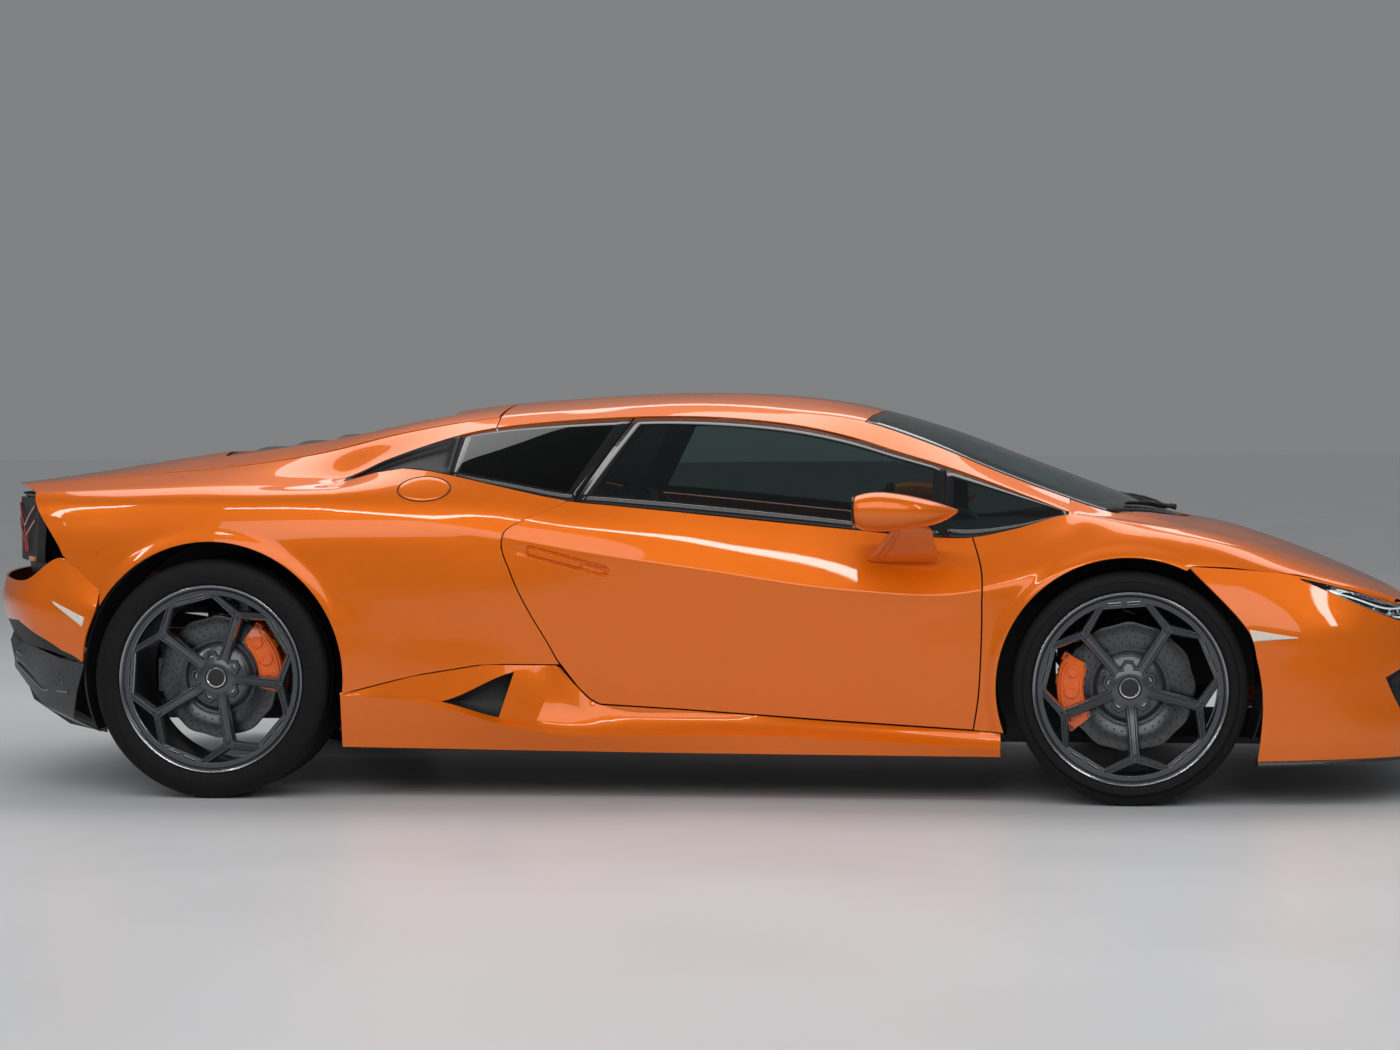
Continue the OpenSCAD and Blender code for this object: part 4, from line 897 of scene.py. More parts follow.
DIVIDER = 700
window("door_glass", patch(lambda p: pillar_x(p) + 3, lambda p: DIVIDER - 2, -300, 690,
                           pane_rows(12, 0.085, BELT + 0.012, RAIL - 0.02), border(34, 34, 980)),
       DOORS, "door_window")
window("rear_side_glass", patch(lambda p: -730, lambda p: pillar_x(p) - 3, -730, -320,
                                pane_rows(10, 0.085, BELT + 0.012, RAIL - 0.02), border(20, 34, 440)),
       "chassis", glass=DARK_GLASS)
window("front_side_glass", patch(lambda p: DIVIDER + 3, lambda p: PILLAR_X - 3, 710, 1050,
                                 pane_rows(6, 0.13, BELT + 0.012, RAIL - 0.02), border(16, 22, 350)),
       "chassis")
shield_rows = [8.01, 8.09] + [8.09 + 3.82 * (k + 1) / 34 for k in range(34)] + [11.99]
shield = patch(lambda p: header_x(p[1]) + 3, lambda p: cowl_x(p[1]) - 2, 500, 1200,
               [fixed(v) for v in shield_rows], border(26, 40, 860))
piece(pane(shield), "windshield_pane", [GLASS, BLACK_GLOSS], "chassis", ["windshield"],
      skinned(4))
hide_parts("fixed_windows")

# recessed black slot behind the side glass
slot_grid = patch(lambda p: TIP_X + 2, lambda p: -727, TIP_X, -730,
                  between(fixed(BELT + 0.01), fixed(RAIL - 0.01), 10, True), steps(30))


def slot_depth(i, j):
    """How deep the slot is at a cell, with sloping sides."""
    return 30 * smooth(min(j, 30 - j, i * 1.6, (10 - i) * 1.6) / 3.2)


inward = Vector((0, -1, -0.35)).normalized()
slot = Build().grid([[tuple(Vector(p) + inward * slot_depth(i, j)) for j, p in enumerate(r)]
                     for i, r in enumerate(slot_grid)])
pair(slot, "window_slot", BLACK, "chassis", None, skinned(2))


# ---------- front bumper ----------
# Rows of the front bumper's left half from the middle round to the wheel arch
NOSE = [
    [(2200, 0, 128), (2190, 250, 128), (2145, 480, 128), (2080, 650, 130), (1990, 800, 132),
     (1865, 888, 132), (1720, 925, 130), (1569, 935, 126)],
    [(2215, 0, 200), (2205, 250, 200), (2160, 480, 200), (2095, 650, 200), (2005, 800, 200),
     (1875, 895, 200), (1725, 935, 200), (1578, 944, 200)],
    [(2208, 0, 300), (2198, 250, 300), (2155, 480, 300), (2088, 650, 300), (2000, 795, 300),
     (1875, 890, 300), (1725, 937, 300), (1583, 948, 300)],
    [(2222, 0, 400), (2208, 250, 400), (2163, 480, 402), (2095, 650, 405), (2008, 785, 408),
     (1880, 882, 410), (1725, 934, 410), (1568, 950, 405)],
    [(2225, 0, 468), (2214, 250, 470), (2165, 480, 474), (2095, 650, 480), (2010, 775, 488),
     (1880, 870, 498), (1720, 925, 505), (1533, 955, 505)],
]


def height_at_y(sec, y):
    """The height at which the section is y from the middle."""
    lo, hi = 4, 10
    for _ in range(18):
        m = (lo + hi) / 2
        if on_section(sec, m)[0] > y:
            lo = m
        else:
            hi = m
    return on_section(sec, lo)[1]


NOSE.append([(front_edge(y), y, height_at_y(section(front_edge(y)), y)) for y in (0, 250, 480, 640)]
            + [skin(x, at_height(x, straight(FENDER_FRONT, x))) for x in (1940, 1830, 1640, 1381)])
TAIL = [
    [(-2150, 0, 430), (-2140, 300, 430), (-2105, 550, 430), (-2040, 720, 430), (-1935, 850, 425),
     (-1835, 900, 400), (-1790, 925, 385)],
    [(-2180, 0, 480), (-2168, 300, 480), (-2130, 550, 480), (-2065, 725, 480), (-1960, 860, 478),
     (-1850, 912, 470), (-1775, 940, 462)],
    [(-2212, 0, 560), (-2200, 300, 560), (-2158, 550, 560), (-2088, 730, 560), (-1985, 868, 558),
     (-1870, 915, 550), (-1742, 950, 542)],
    [(-2190, 0, 640), (-2180, 300, 640), (-2140, 550, 636), (-2080, 725, 628), (-1975, 858, 628),
     (-1857, 893, 692), (-1733, 927, 600)],
]


def table_point(table, u, w):
    """The point at column u and row w of a table's smooth surface."""
    return through([through(r, u) for r in table], w)


def warped(table, nodes, nu, nw, reverse):
    """A grid over (u, w) through rows of control nodes, with the column and row band of each cell."""
    us = [(c, k / nu[c]) for c in range(len(nu)) for k in range(nu[c])] + [(len(nu) - 1, 1.0)]
    ws = [(r, k / nw[r]) for r in range(len(nw)) for k in range(nw[r])] + [(len(nw) - 1, 1.0)]
    if reverse:
        us = us[::-1]
    grid = []
    for r, b in ws:
        line = []
        for c, a in us:
            u, w = (lerp(lerp(nodes[r][c][k], nodes[r][c + 1][k], a),
                         lerp(nodes[r + 1][c][k], nodes[r + 1][c + 1][k], a), b) for k in (0, 1))
            line.append(table_point(table, u, w))
        grid.append(line)
    col_band = [min(us[j][0] + us[j][1], us[j + 1][0] + us[j + 1][1]) for j in range(len(us) - 1)]
    row_band = [r for r, b in ws[:-1]]
    return grid, [int(c + 1e-6) for c in col_band], row_band


def part_of(grid, rows, cols):
    """The rows and columns of a grid from the first to the last, both kept."""
    return [r[cols[0]:cols[1] + 1] for r in grid[rows[0]:rows[1] + 1]]


def band_range(bands, which):
    """The first cell in the bands and the one past the last."""
    k = [i for i, b in enumerate(bands) if b in which]
    return k[0], k[-1] + 1


def other_side(g):
    return [[(p[0], -p[1], p[2]) for p in r] for r in g]


def mirrored(g):
    """The grid on each side, as its sign, whether its faces flip, and the grid."""
    return ((1, False, g), (-1, True, other_side(g)))


def recess(b, hole, inward, shrink, mat_wall=0, mat_back=0, rim=0.0, flip=False):
    """A hollow behind a hole: walls from its border, and a back that repeats its shape smaller."""
    d = Vector(inward)
    flat = [Vector(p) for r in hole for p in r]
    mid = sum(flat, Vector()) / len(flat)
    front = [[tuple(Vector(p) + d * rim) for p in r] for r in hole]
    back = [[tuple(mid + (Vector(p) - mid) * shrink + d) for p in r] for r in hole]
    b.grid(back, mat=mat_back, flip=flip)

    def border(g):
        return (g[0] + [r[-1] for r in g[1:]] + g[-1][-2::-1] + [r[0] for r in g[-2:0:-1]])

    f, k = border(front), border(back)
    n = len(f)
    faces = [(i, (i + 1) % n, n + (i + 1) % n, n + i) for i in range(n)]
    b.add(f + k, [q[::-1] for q in faces] if flip else faces, mat_wall)
    return back


def along(b, line, offset, r, mat=0, n=8):
    """A round bar along a line of points, moved by offset."""
    return b.tube([tuple(Vector(p) + Vector(offset)) for p in line], r, n, mat)


N_NODES = [
    [(0, 0), (1.35, 0), (1.9, 0), (3.95, 0), (5.75, 0), (7, 0)],
    [(0, 0.85), (1.35, 0.85), (1.95, 0.9), (3.95, 0.9), (5.75, 0.9), (7, 0.9)],
    [(0, 1.75), (1.3, 1.75), (1.75, 1.9), (4.65, 2.5), (5.75, 2.2), (7, 2.2)],
    [(0, 2.6), (1.15, 2.6), (1.5, 2.85), (3.9, 2.95), (5.75, 3), (7, 3)],
    [(0, 4), (1.2, 4), (1.8, 4), (4.1, 3.95), (5.75, 4), (7, 4)],
    [(0, 4.3), (1.2, 4.3), (2.55, 4.32), (4.3, 4.26), (5.78, 4.92), (7, 4.6)],
    [(0, 4.9), (1.2, 4.9), (2.35, 4.86), (4.3, 4.95), (5.8, 4.955), (7, 4.9)],
    [(0, 5), (1.2, 5), (2.35, 5), (4.3, 5), (5.8, 5), (7, 5)],
]
nose, n_col, n_row = warped(NOSE, N_NODES, [10, 4, 16, 12, 12], [5, 6, 6, 7, 3, 7, 1], True)


def nose_hole(c, r):
    """Whether a band of the bumper is open: the side intakes, the headlamps or the middle intake."""
    return (c == 2 and r in (1, 2)) or (c in (2, 3) and r == 5) or (c == 0 and r == 1)


bumper = Build()
for _, flip, g in mirrored(nose):
    bumper.grid(g, keep=lambda i, j: not nose_hole(n_col[j], n_row[i]), flip=flip)
piece(bumper, "front_bumper_skin", PAINT, "chassis", ["front_bumper"], BUMPER)

intake_hole = part_of(nose, band_range(n_row, (1, 2)), band_range(n_col, (2,)))
centre_hole = part_of(nose, band_range(n_row, (1,)), band_range(n_col, (0,)))
lamp_hole = part_of(nose, band_range(n_row, (5,)), band_range(n_col, (2, 3)))
grilles = Build()
for (s, flip, hole), (_, _, middle) in zip(mirrored(intake_hole), mirrored(centre_hole)):
    back = recess(grilles, hole, (-70, -12 * s, 4), 0.86, 0, 1, 0.1, flip)
    for k in (2, 5, 8, 11):
        along(grilles, back[min(k, len(back) - 1)], (14, 3 * s, 0), 3.2)
    for k in range(1, len(back[0]) - 1, 2):
        along(grilles, [r[k] for r in back], (11, 3 * s, 0), 2.0, n=6)
    fin = [[tuple(Vector(r[-4]) + Vector((-14, 0, 0))) for r in hole],
           [tuple(Vector(r[-5]) + Vector((-62, 6 * s, 0))) for r in hole]]
    fin_t = [[tuple(Vector(p) + Vector((0, 9 * s, 0))) for p in r] for r in fin]
    grilles.loft([fin[0] + fin[1][::-1], fin_t[0] + fin_t[1][::-1]], 2)
    recess(grilles, middle, (-60, 0, 4), 0.97, 0, 1, 0.1, flip)
piece(grilles, "front_grilles", [BLACK, MESH, PAINT], "chassis", finish=solid(0.8))

# splitter under the bumper's lower edge
NOSE_TIP, GROUND_GAP = 2234, 112
lip = nose[0]
splitter = Build()
for s, flip, _ in mirrored(nose):
    ring = []
    for dx, dz in ((-4, 3), (7, -2), (9, -9), (-2, -14), (-60, -14), (-60, 3)):
        line = []
        for k, p in enumerate(lip):
            a, c = Vector(lip[max(0, k - 1)]), Vector(lip[min(len(lip) - 1, k + 1)])
            t = (c - a).normalized()
            out = Vector((0, 0, 1)).cross(t).normalized()
            reach = 1 if dx < 0 else max(0, min(1, (2120 - p[0]) / 400 + 0.2))
            q = Vector(p) + out * dx * reach
            line.append((min(q.x, NOSE_TIP), q.y * s, max(GROUND_GAP, q.z + dz)))
        ring.append(line)
    splitter.grid(ring + ring[:1], flip=not flip)
piece(splitter, "front_splitter", CARBON, "chassis", finish=solid(1.5))

# headlights: a dark housing with light strips behind a clear lens
lamps = Build()
for s, flip, hole in mirrored(lamp_hole):
    back = recess(lamps, hole, (-55, -22 * s, -10), 0.80, 0, 0, 0.05, flip)
    n = len(hole[0]) - 1
    for row, first, share, rise, r in ((-2, 4, 0.55, -3, 2.6), (1, n // 2, 0.45, 4, 2.2)):
        strip = [mix(back[row][k], hole[row][k], share) for k in range(first, n - 2)]
        along(lamps, strip, (0, 0, rise), r, 1, 10)
    for f in (0.42, 0.60, 0.78):
        p = Vector(back[3][int(n * f)]) + Vector((14, 6 * s, 2))
        d = Vector((0.93, 0.36 * s, 0))
        lamps.tube([p, p + d * 12, p + d * 15], [13, 14.5, 13.5], 20, 2)
        lamps.tube([p + d * 14.5, p + d * 19, p + d * 21], [11.5, 8, 2.5], 20, 3)
piece(lamps, "headlamp_units", [BLACK_GLOSS, LAMP_WHITE, CHROME, LENS], "chassis",
      ["lamps"], solid(0.6))
lens = Build().grid(sunk(lamp_hole, lambda p: 0.6))
pair(lens, "headlamp_lens", LENS, "chassis", None, skinned(2))

# ---------- rear bumper ----------
T_NODES = [
    [(0, 0), (1.0, 0), (2.4, 0), (3.6, 0), (4.9, 0), (6, 0)],
    [(0, 1.25), (1.0, 1.25), (2.4, 1.3), (3.55, 1.35), (4.75, 0.25), (6, 0.08)],
    [(0, 2.0), (1.0, 2.0), (2.4, 2.0), (3.7, 2.0), (4.9, 1.6), (6, 1.6)],
    [(0, 3), (1.0, 3), (2.4, 3), (3.6, 3), (4.9, 3), (6, 3)],
]
tail, t_col, t_row = warped(TAIL, T_NODES, [8, 10, 10, 12, 12], [6, 7, 9], False)
rear = Build()
for _, flip, g in mirrored(tail):
    rear.grid(g, pick=lambda i, j: 1 if t_row[i] == 0 else 0, flip=flip,
              keep=lambda i, j: not (t_col[j] == 1 and t_row[i] == 1))
piece(rear, "rear_bumper_skin", [PAINT, BLACK], "chassis", ["rear_bumper"], BUMPER)
vent_hole = part_of(tail, band_range(t_row, (1,)), band_range(t_col, (1,)))

# tail panel between the deck and the bumper, its lamps and the vents
def tail_points(outline, s, gap):
    """Points ahead of the tail's edge by gap, from (y, z) on the side s."""
    return [(tail_edge(y) + gap, y * s, z) for y, z in outline]


panels = Build()
panels.grid([[(tail_edge(y) + dx, y, z) for y in range(780, -781, -20)]
             for z, dx in ((632, 40), (660, 36), (760, 34), (860, 30), (874, 16))], mat=1, flip=True)
for z in range(672, 861, 14):
    panels.tube([(tail_edge(y) + 31, y, z) for y in range(430, -431, -20)], 2.6, 6)
for y in range(-420, 421, 42):
    panels.tube([(tail_edge(y) + 31, y, z) for z in (668, 760, 860)], 2.2, 6)
for s, flip, hole in mirrored(vent_hole):
    back = recess(panels, hole, (55, 0, 0), 0.94, 0, 1, 0.1, flip)
    for k in (1, 3, 5):
        along(panels, back[k], (-14, 0, 0), 2.6, n=6)
    housing = ((452, 672), (452, 862), (792, 866), (800, 800), (770, 672))
    panels.loft([tail_points(housing, s, gap) for gap in (34, 10)])
    for pts in (((470, 842), (610, 776), (772, 842)), ((610, 776), (628, 700)),
                ((470, 800), (575, 752), (585, 700)), ((772, 800), (650, 752), (668, 700))):
        path = [mix(a, c, t) for a, c in zip(pts[:-1], pts[1:]) for t in (0, 0.25, 0.5, 0.75)]
        panels.tube(tail_points(path + [pts[-1]], s, 8), 4.2, 8, 3)
    panels.loft([tail_points(((690, 676), (690, 690), (758, 690), (752, 676)), s, gap)
                 for gap in (12, 5)], 4)
piece(panels, "tail_panel", [BLACK, MESH, BLACK_GLOSS, RED_LAMP, AMBER], "chassis",
      finish=solid(0.8))

# blank plate and its holder
plate = Build()
plate.box(-2217, -2209, -262, 262, 520, 634)
plate.box(-2219.6, -2216, -255, 255, 526, 628, 1)
piece(plate, "blank_plate", [BLACK, PLATE], "chassis", finish=solid(2.0))

# diffuser: a ramp, its side wings, upright fins and a bright strip at each end
diff = Build()
under = [(-1795, 172), (-1870, 196), (-1960, 244), (-2030, 308), (-2070, 372), (-2084, 440),
         (-2072, 470), (-2040, 470)]
behind = [(-2020, 430), (-1990, 330), (-1900, 240), (-1795, 182)]
for y0, y1 in ((-700, -352), (-248, 248), (352, 700)):
    diff.loft([[(x, y, z) for x, z in under + behind] for y in (y0, (y0 + y1) / 2, y1)])
for y0, y1 in ((-352, -248), (248, 352)):
    for outline in (under[:4] + behind[1:],
                    [(-2082, 424), (-2084, 440), (-2072, 470), (-2040, 470), (-2020, 424)]):
        diff.loft([[(x, y, z) for x, z in outline] for y in (y0, y1)])
for y in (-560, -390, -225, -75, 75, 225, 390, 560):
    diff.prism([(-1835, 150), (-1950, 176), (-2062, 250), (-2092, 330), (-2088, 380), (-2040, 330),
                (-1950, 250), (-1835, 190)], y - 3.5, y + 3.5)
for s in (1, -1):
    wing = [[(-1790, 905 * s, 384), (-1822, 880 * s, 300), (-1860, 800 * s, 215), (-1790, 760 * s, 172)],
            [(-1870, 880 * s, 398), (-1905, 850 * s, 318), (-1950, 790 * s, 250), (-1870, 740 * s, 196)],
            [(-1940, 838 * s, 418), (-1975, 800 * s, 350), (-2010, 745 * s, 300), (-1960, 700 * s, 244)],
            [(-2030, 745 * s, 440), (-2062, 730 * s, 400), (-2068, 710 * s, 360), (-2030, 690 * s, 308)]]
    diff.grid(wing, flip=s < 0)
    for dz in (0, 26, 52):
        diff.tube([(-1852 - dz * 0.5, 866 * s, 300 + dz), (-1950, (806 - dz * 0.2) * s, 300 + dz * 0.9),
                   (-2052, 735 * s, 372 + dz * 0.7)], 4.5, 8, 1)


def diffuser_finish(ob):
    recalc(ob)
    sheet(4)(ob)
    round_edges(ob, 1.2)


piece(diff, "diffuser", [CARBON, STEEL], "chassis", ["rear_diffuser"], diffuser_finish)

# exhaust: box and two round tips
exhaust = Build()
exhaust.box(-1735, -1500, -340, 340, 235, 425)
tip = [(34, -1750), (34, -2070), (36, -2080), (41, -2082), (44, -2078), (45, -2060), (43, -1950),
       (40, -1750)]
for y in (-300, 300):
    exhaust.loft([[(x, y + r * math.cos(a), 370 + r * math.sin(a)) for a in turns(40)] for r, x in tip],
                 1, caps=False)
piece(exhaust, "exhaust_tips", [STEEL, CHROME], "chassis", ["exhaust"], solid(6))

# ---------- side skirts ----------
SKIRT = [
    [(-1020, 770, 150), (0, 770, 137), (864, 770, 133)],
    [(-1032, 925, 150), (-216, 902, 138), (864, 918, 133)],
    [(-1009, 950, 300), (-823, 951, 285), (-700, 949, 260), (-568, 942, 222), (-406, 930, 192),
     (-211, 921, 184), (0, 916, 190), (862, 928, 156)],
    [(-1009, 949, 303), (-725, 936, 281), (-566, 915, 236), (-400, 902, 224), (-217, 892, 212),
     (0, 888, 210), (862, 905, 182)],
    [(-1009, 948, 305), (-725, 934, 284), (-522, 906, 366), (-430, 890, 378), (-393, 884, 372),
     (-347, 880, 322), (-304, 876, 280), (-270, 873, 266), (0, 866, 247), (862, 903, 192)],
]


SKIRT_COLS = (12, 16, 6, 14, 30)
NOTCH_ROWS, NOTCH_COLS = (8, 10), (12, 28)


def skirt_x(k, j):
    """Column j's station on row k, with the columns shared out between five stretches."""
    tip = -566 if k <= 3 else -522
    stops = (-1020, -725, tip, -404, -280, 860)
    for c, n in enumerate(SKIRT_COLS):
        if j <= n:
            return lerp(stops[c], stops[c + 1], j / n)
        j -= n
    return stops[-1]


def skirt_point(k, j):
    """The skirt's point at row k and column j. The last row follows the sill line."""
    x = skirt_x(k, j)
    if k < len(SKIRT):
        return (x, on(SKIRT[k], x, 1), on(SKIRT[k], x, 2))
    return skin(x, at_height(x, straight(SILL_LINE, x) - 1.2))


skirt_rows = [(0, 0), (0, 0.5), (1, 0), (1, 0.12), (1, 0.5), (1, 0.88), (2, 0), (2, 0.5), (3, 0),
              (3, 0.5), (4, 0), (4, 0.5), (5, 0)]
skirt_grid = [[mix(skirt_point(k, j), skirt_point(min(5, k + 1), j), t) for j in range(79)]
              for k, t in skirt_rows]
skirt = Build().grid(skirt_grid, keep=lambda i, j: not (
    NOTCH_ROWS[0] <= i < NOTCH_ROWS[1] and NOTCH_COLS[0] <= j < NOTCH_COLS[1]))
pair(skirt, "side_skirt_skin", PAINT, "chassis", None, skinned(5, 1.6))
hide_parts("side_skirts")
duct = Build()
recess(duct, part_of(skirt_grid, NOTCH_ROWS, NOTCH_COLS), (18, -46, -6), 0.9, 0, 0, 0.1)
pair(duct, "side_duct", BLACK, "chassis", None, solid())

# ---------- wheels ----------
FRONT_SPOKES, REAR_SPOKES = 58, -4
HUB_F, HUB_R = 44, 60
DISC_F, DISC_R = (183, 4), (178, 20)
DISC_T = 32
LIP_R, HUB_EDGE_R = 250, 60


def circles(centre, profile, n, start=0.0):
    """Rings of n points about the Y axis through centre, one to each (radius, along)."""
    return [[(centre[0] + r * math.cos(a), centre[1] + y, centre[2] + r * math.sin(a))
             for a in turns(n, start)][::-1] for r, y in profile]


def tyre_build(centre, r, w):
    """A tyre with rounded shoulders, four grooves and a row of small blocks at each shoulder."""
    h = w / 2
    side = [(RIM_R - 14, h - 22), (RIM_R + 1, h - 11), (RIM_R + 7, h - 4), (RIM_R + 12, h - 2.2),
            (RIM_R + 16, h - 2.6), (RIM_R + 20, h - 0.6), (RIM_R + 30, h - 0.1), (r - 30, h - 0.8),
            (r - 27, h - 2.2), (r - 18, h - 4.5), (r - 9, h - 10), (r - 4, h - 17), (r - 1.4, h - 26)]
    tread = []
    for k in (0.58, 0.2):
        y = h * k
        tread += [(r - 0.3 * k, y + 5), (r - 6.5, y + 3.6), (r - 6.5, y - 3.6), (r - 0.3 * k, y - 5)]
    outer = side + tread + [(q[0], -q[1]) for q in tread[::-1]] + [(q[0], -q[1]) for q in side[::-1]]
    inner = [(RIM_R - 14, -h + 34), (r - 18, -h + 26), (r - 15, 0), (r - 18, h - 26),
             (RIM_R - 14, h - 34)]
    b = Build().ring(outer + inner, 128, centre, closed=True)
    for a in turns(72):
        for y0, y1, twist in ((h * 0.62, h - 20, 0.03), (-h * 0.62, -h + 20, -0.03)):
            block = []
            for da in (-0.011, 0.011):
                for y, turn in ((y0, 0), (y1, twist)):
                    q = r - 0.1 - (4 if abs(y) > h * 0.7 else 0)
                    block.append(polar(centre, q, math.degrees(a + da + turn), y))
            b.add(block, [(0, 1, 3, 2)], 1)
    return b


def polar(centre, r, deg, y):
    """The point at radius r and deg degrees about an axle through centre, y along it."""
    a = math.radians(deg)
    return (centre[0] + r * math.cos(a), centre[1] + y, centre[2] + r * math.sin(a))


def sweep(b, path, widths, depth, mat, highlight_mat):
    """A spoke arm along a path of (x, y, z): a bevelled bar with a channel in its outer face. Its two
    bevel faces take a lighter metal as a painted highlight.
    """
    rings = []
    for i, p in enumerate(path):
        a, c = Vector(path[max(0, i - 1)]), Vector(path[min(len(path) - 1, i + 1)])
        t = Vector((c.x - a.x, 0, c.z - a.z)).normalized()
        v = Vector((-t.z, 0, t.x))
        w, d = widths[i], depth[i]
        prof = [(-w, -d), (-w, -7), (-w + 4.5, 0), (-w + 7.5, 0), (-w + 10, -4.5), (w - 10, -4.5),
                (w - 7.5, 0), (w - 4.5, 0), (w, -7), (w, -d)]
        rings.append([tuple(Vector(p) + v * q + Vector((0, h, 0))) for q, h in prof])
    b.loft(rings, pick=lambda i, k: highlight_mat if k in (1, 7) else mat)


def rim_plate(b, centre, mid, lip):
    """A plate between two spokes, straight along its inner edge, with two long slots. Each slot is a
    black strip of painted shade, a little proud of the plate, with painted highlights on its long edges.
    """
    plate = []
    for k in range(13):
        da = lerp(-14.5, 14.5, k / 12)
        inner = 226 / math.cos(math.radians(da))
        plate.append([polar(centre, r, mid + da, y) for r, y in
                      ((inner + 1.5, lip - 20), (inner, lip - 18), (inner, lip - 3), (inner + 3, lip),
                       (254, lip), (256, lip - 18))])
    b.loft(plate, pick=lambda i, k: 1 if k == 2 else 0)
    # Slots: a black strip of painted shade with the lighter metal of painted highlight on each long edge.
    for side in (-1, 1):
        slot = []
        for k in range(7):
            da = side * lerp(2.0, 10.5, k / 6)
            r_mid = 238.5 / math.cos(math.radians(da))
            slot.append([polar(centre, r_mid + q, mid + da, lip + y) for q, y in
                         ((-4.4, 0.5), (-3, 1.0), (3, 1.0), (4.4, 0.5))])
        b.loft(slot, pick=lambda i, k: 1 if k in (0, 2) else 2)


def rim_build(centre, w, hub, turn):
    """A rim with five spokes that fork at their ends, plates between them, and a blank cap."""
    h = w / 2
    b = Build()
    # Material 1, on the rim's lip edges and the spokes' bevels, is the lighter metal of painted
    # highlight.
    b.ring([(RIM_R - 15, -h + 14), (RIM_R, -h + 11), (RIM_R, -h + 6), (RIM_R - 10, -h + 5),
            (RIM_R - 20, -h + 12), (RIM_R - 22, -h + 40), (RIM_R - 22, h - 42), (RIM_R - 17, h - 20),
            (RIM_R - 6, h - 9), (RIM_R - 1.5, h - 6), (RIM_R, h - 7), (RIM_R, h - 12),
            (RIM_R - 13, h - 16), (RIM_R - 17, h - 30), (RIM_R - 18, h - 42), (RIM_R - 18, -h + 42)],
           128, centre, closed=True, pick=lambda i, j: 1 if j in (8, 9) else 0)
    lip = h - 14
    face = hub + 22
    b.ring([(LIP_R, lip - 14), (243, lip - 13), (241.5, lip - 2), (243.5, lip + 0.2),
            (256, lip + 0.4)], 128, centre, pick=lambda i, j: 1 if j == 2 else 0)

    def height(r):
        share = (r - HUB_EDGE_R) / (LIP_R - HUB_EDGE_R)
        return face + (lip - face) * min(1, max(0, share)) ** 0.85

    for s in range(5):
        deg = turn + 72 * s
        radii = [50, 62, 90, 120, 150, 178, 198, 206]
        path = [polar(centre, r, deg, height(r)) for r in radii]
        sweep(b, path, [19, 17.5, 16, 15.5, 15.5, 16, 18, 19], [20, 22, 24, 26, 28, 30, 30, 28], 0, 1)
        for m in (-1, 1):
            arm = []
            for t in (-0.06, 0.06, 0.3, 0.55, 0.8, 1.0):
                x = lerp(197, 251 * math.cos(math.radians(22.5)), t)
                z = lerp(0, 251 * math.sin(math.radians(22.5)) * m, t)
                r = math.hypot(x, z)
                arm.append(polar(centre, r, deg + math.degrees(math.atan2(z, x)), height(r) - 0.4))
            sweep(b, arm, [13.5, 13, 12, 11.5, 11.5, 12.5], [28] * 6, 0, 1)
        rim_plate(b, centre, deg + 36, lip)
        # lug boss and nut
        at = polar(centre, 56, deg + 36, face)
        boss = ((25, -34), (24, -8), (21, -3), (15.5, -3), (13.5, -8), (13, -22))
        b.loft(circles(at, boss, 6, math.radians(deg)), 0, caps=False)
        b.loft(circles(at, ((10.5, -24), (10.5, -9), (8.5, -7), (5, -7), (4.5, -12)), 6), 3)
    b.ring([(0, hub + 1), (88, hub + 1), (90, hub + 6), (84, hub + 11), (60, hub + 15), (46, face - 2),
            (36, face + 1.5), (33, face + 1), (32, face - 1)], 60, centre)
    b.ring([(31.5, face - 3), (31.5, face + 0.5), (29, face + 3.5), (26, face + 4), (24.5, face + 2.6),
            (18, face + 3.2), (9, face + 3.8), (0.01, face + 4)], 60, centre,
           pick=lambda i, j: 3 if j in (2, 3) else 2)
    return b


def hole_shade_dot(b, at, r):
    """A small black disc that stands for a hole or a bolt; where it stands for a hole, its black is
    painted shade.
    """
    x, y, z = at
    b.add([(x + r * math.cos(a), y, z + r * math.sin(a)) for a in turns(8)], [tuple(range(8))[::-1]], 2)


def disc_build(centre, r, y0, hub):
    """A disc with a vented gap and a faintly lobed edge, and its hat. Its drilled holes are black discs
    of painted shade.
    """
    b = Build()
    y1 = y0 + DISC_T
    prof = [(112, y0), (r - 8, y0), (r, y0 + 1.5), (r, y0 + 12), (r - 14, y0 + 12.5), (r - 14, y1 - 12.5),
            (r, y1 - 12), (r, y1 - 1.5), (r - 8, y1), (112, y1), (110, y1 - 2), (110, y0 + 2)]
    b.ring(prof, 144, centre, closed=True,
           wave=lambda a, q: 2.6 * math.cos(12 * a) - 2.6 if q > r - 10 else 0)
    for i in range(36):
        for q, da in ((126, 0), (141, 3.3), (156, 6.6), (r - 14, 9.9)):
            hole_shade_dot(b, polar(centre, q, i * 10 + da, y1 + 0.25), 2.9)
    b.ring([(114, y1 - 6), (112, y1 + 1), (104, y1 + 2), (98, y1 - 2), (92, hub - 4), (86, hub - 0.8),
            (22, hub - 0.8)], 72, centre, mat=1)
    for i in range(24):
        hole_shade_dot(b, polar(centre, 106.5, i * 15, y1 + 1.9), 2.6)
    return b


def polar_block(b, centre, r0, r1, a0, a1, y0, y1, mat, n=12, cut=4, ends=5):
    """A bar bent round the axle, with chamfered edges and narrowed ends."""
    rings = []
    for i in range(n + 1):
        a = lerp(a0, a1, i / n)
        e = ends * (1 - smooth(min(i, n - i) / 1.5))
        q0, q1, s0, s1 = r0 + e, r1 - e, y0 + e * 0.5, y1 - e * 0.5
        rings.append([polar(centre, q, a, y) for q, y in
                      ((q0 + cut, s0), (q0, s0 + cut), (q0, s1 - cut), (q0 + cut, s1), (q1 - cut, s1),
                       (q1, s1 - cut), (q1, s0 + cut), (q1 - cut, s0))])
    return b.loft(rings, mat)


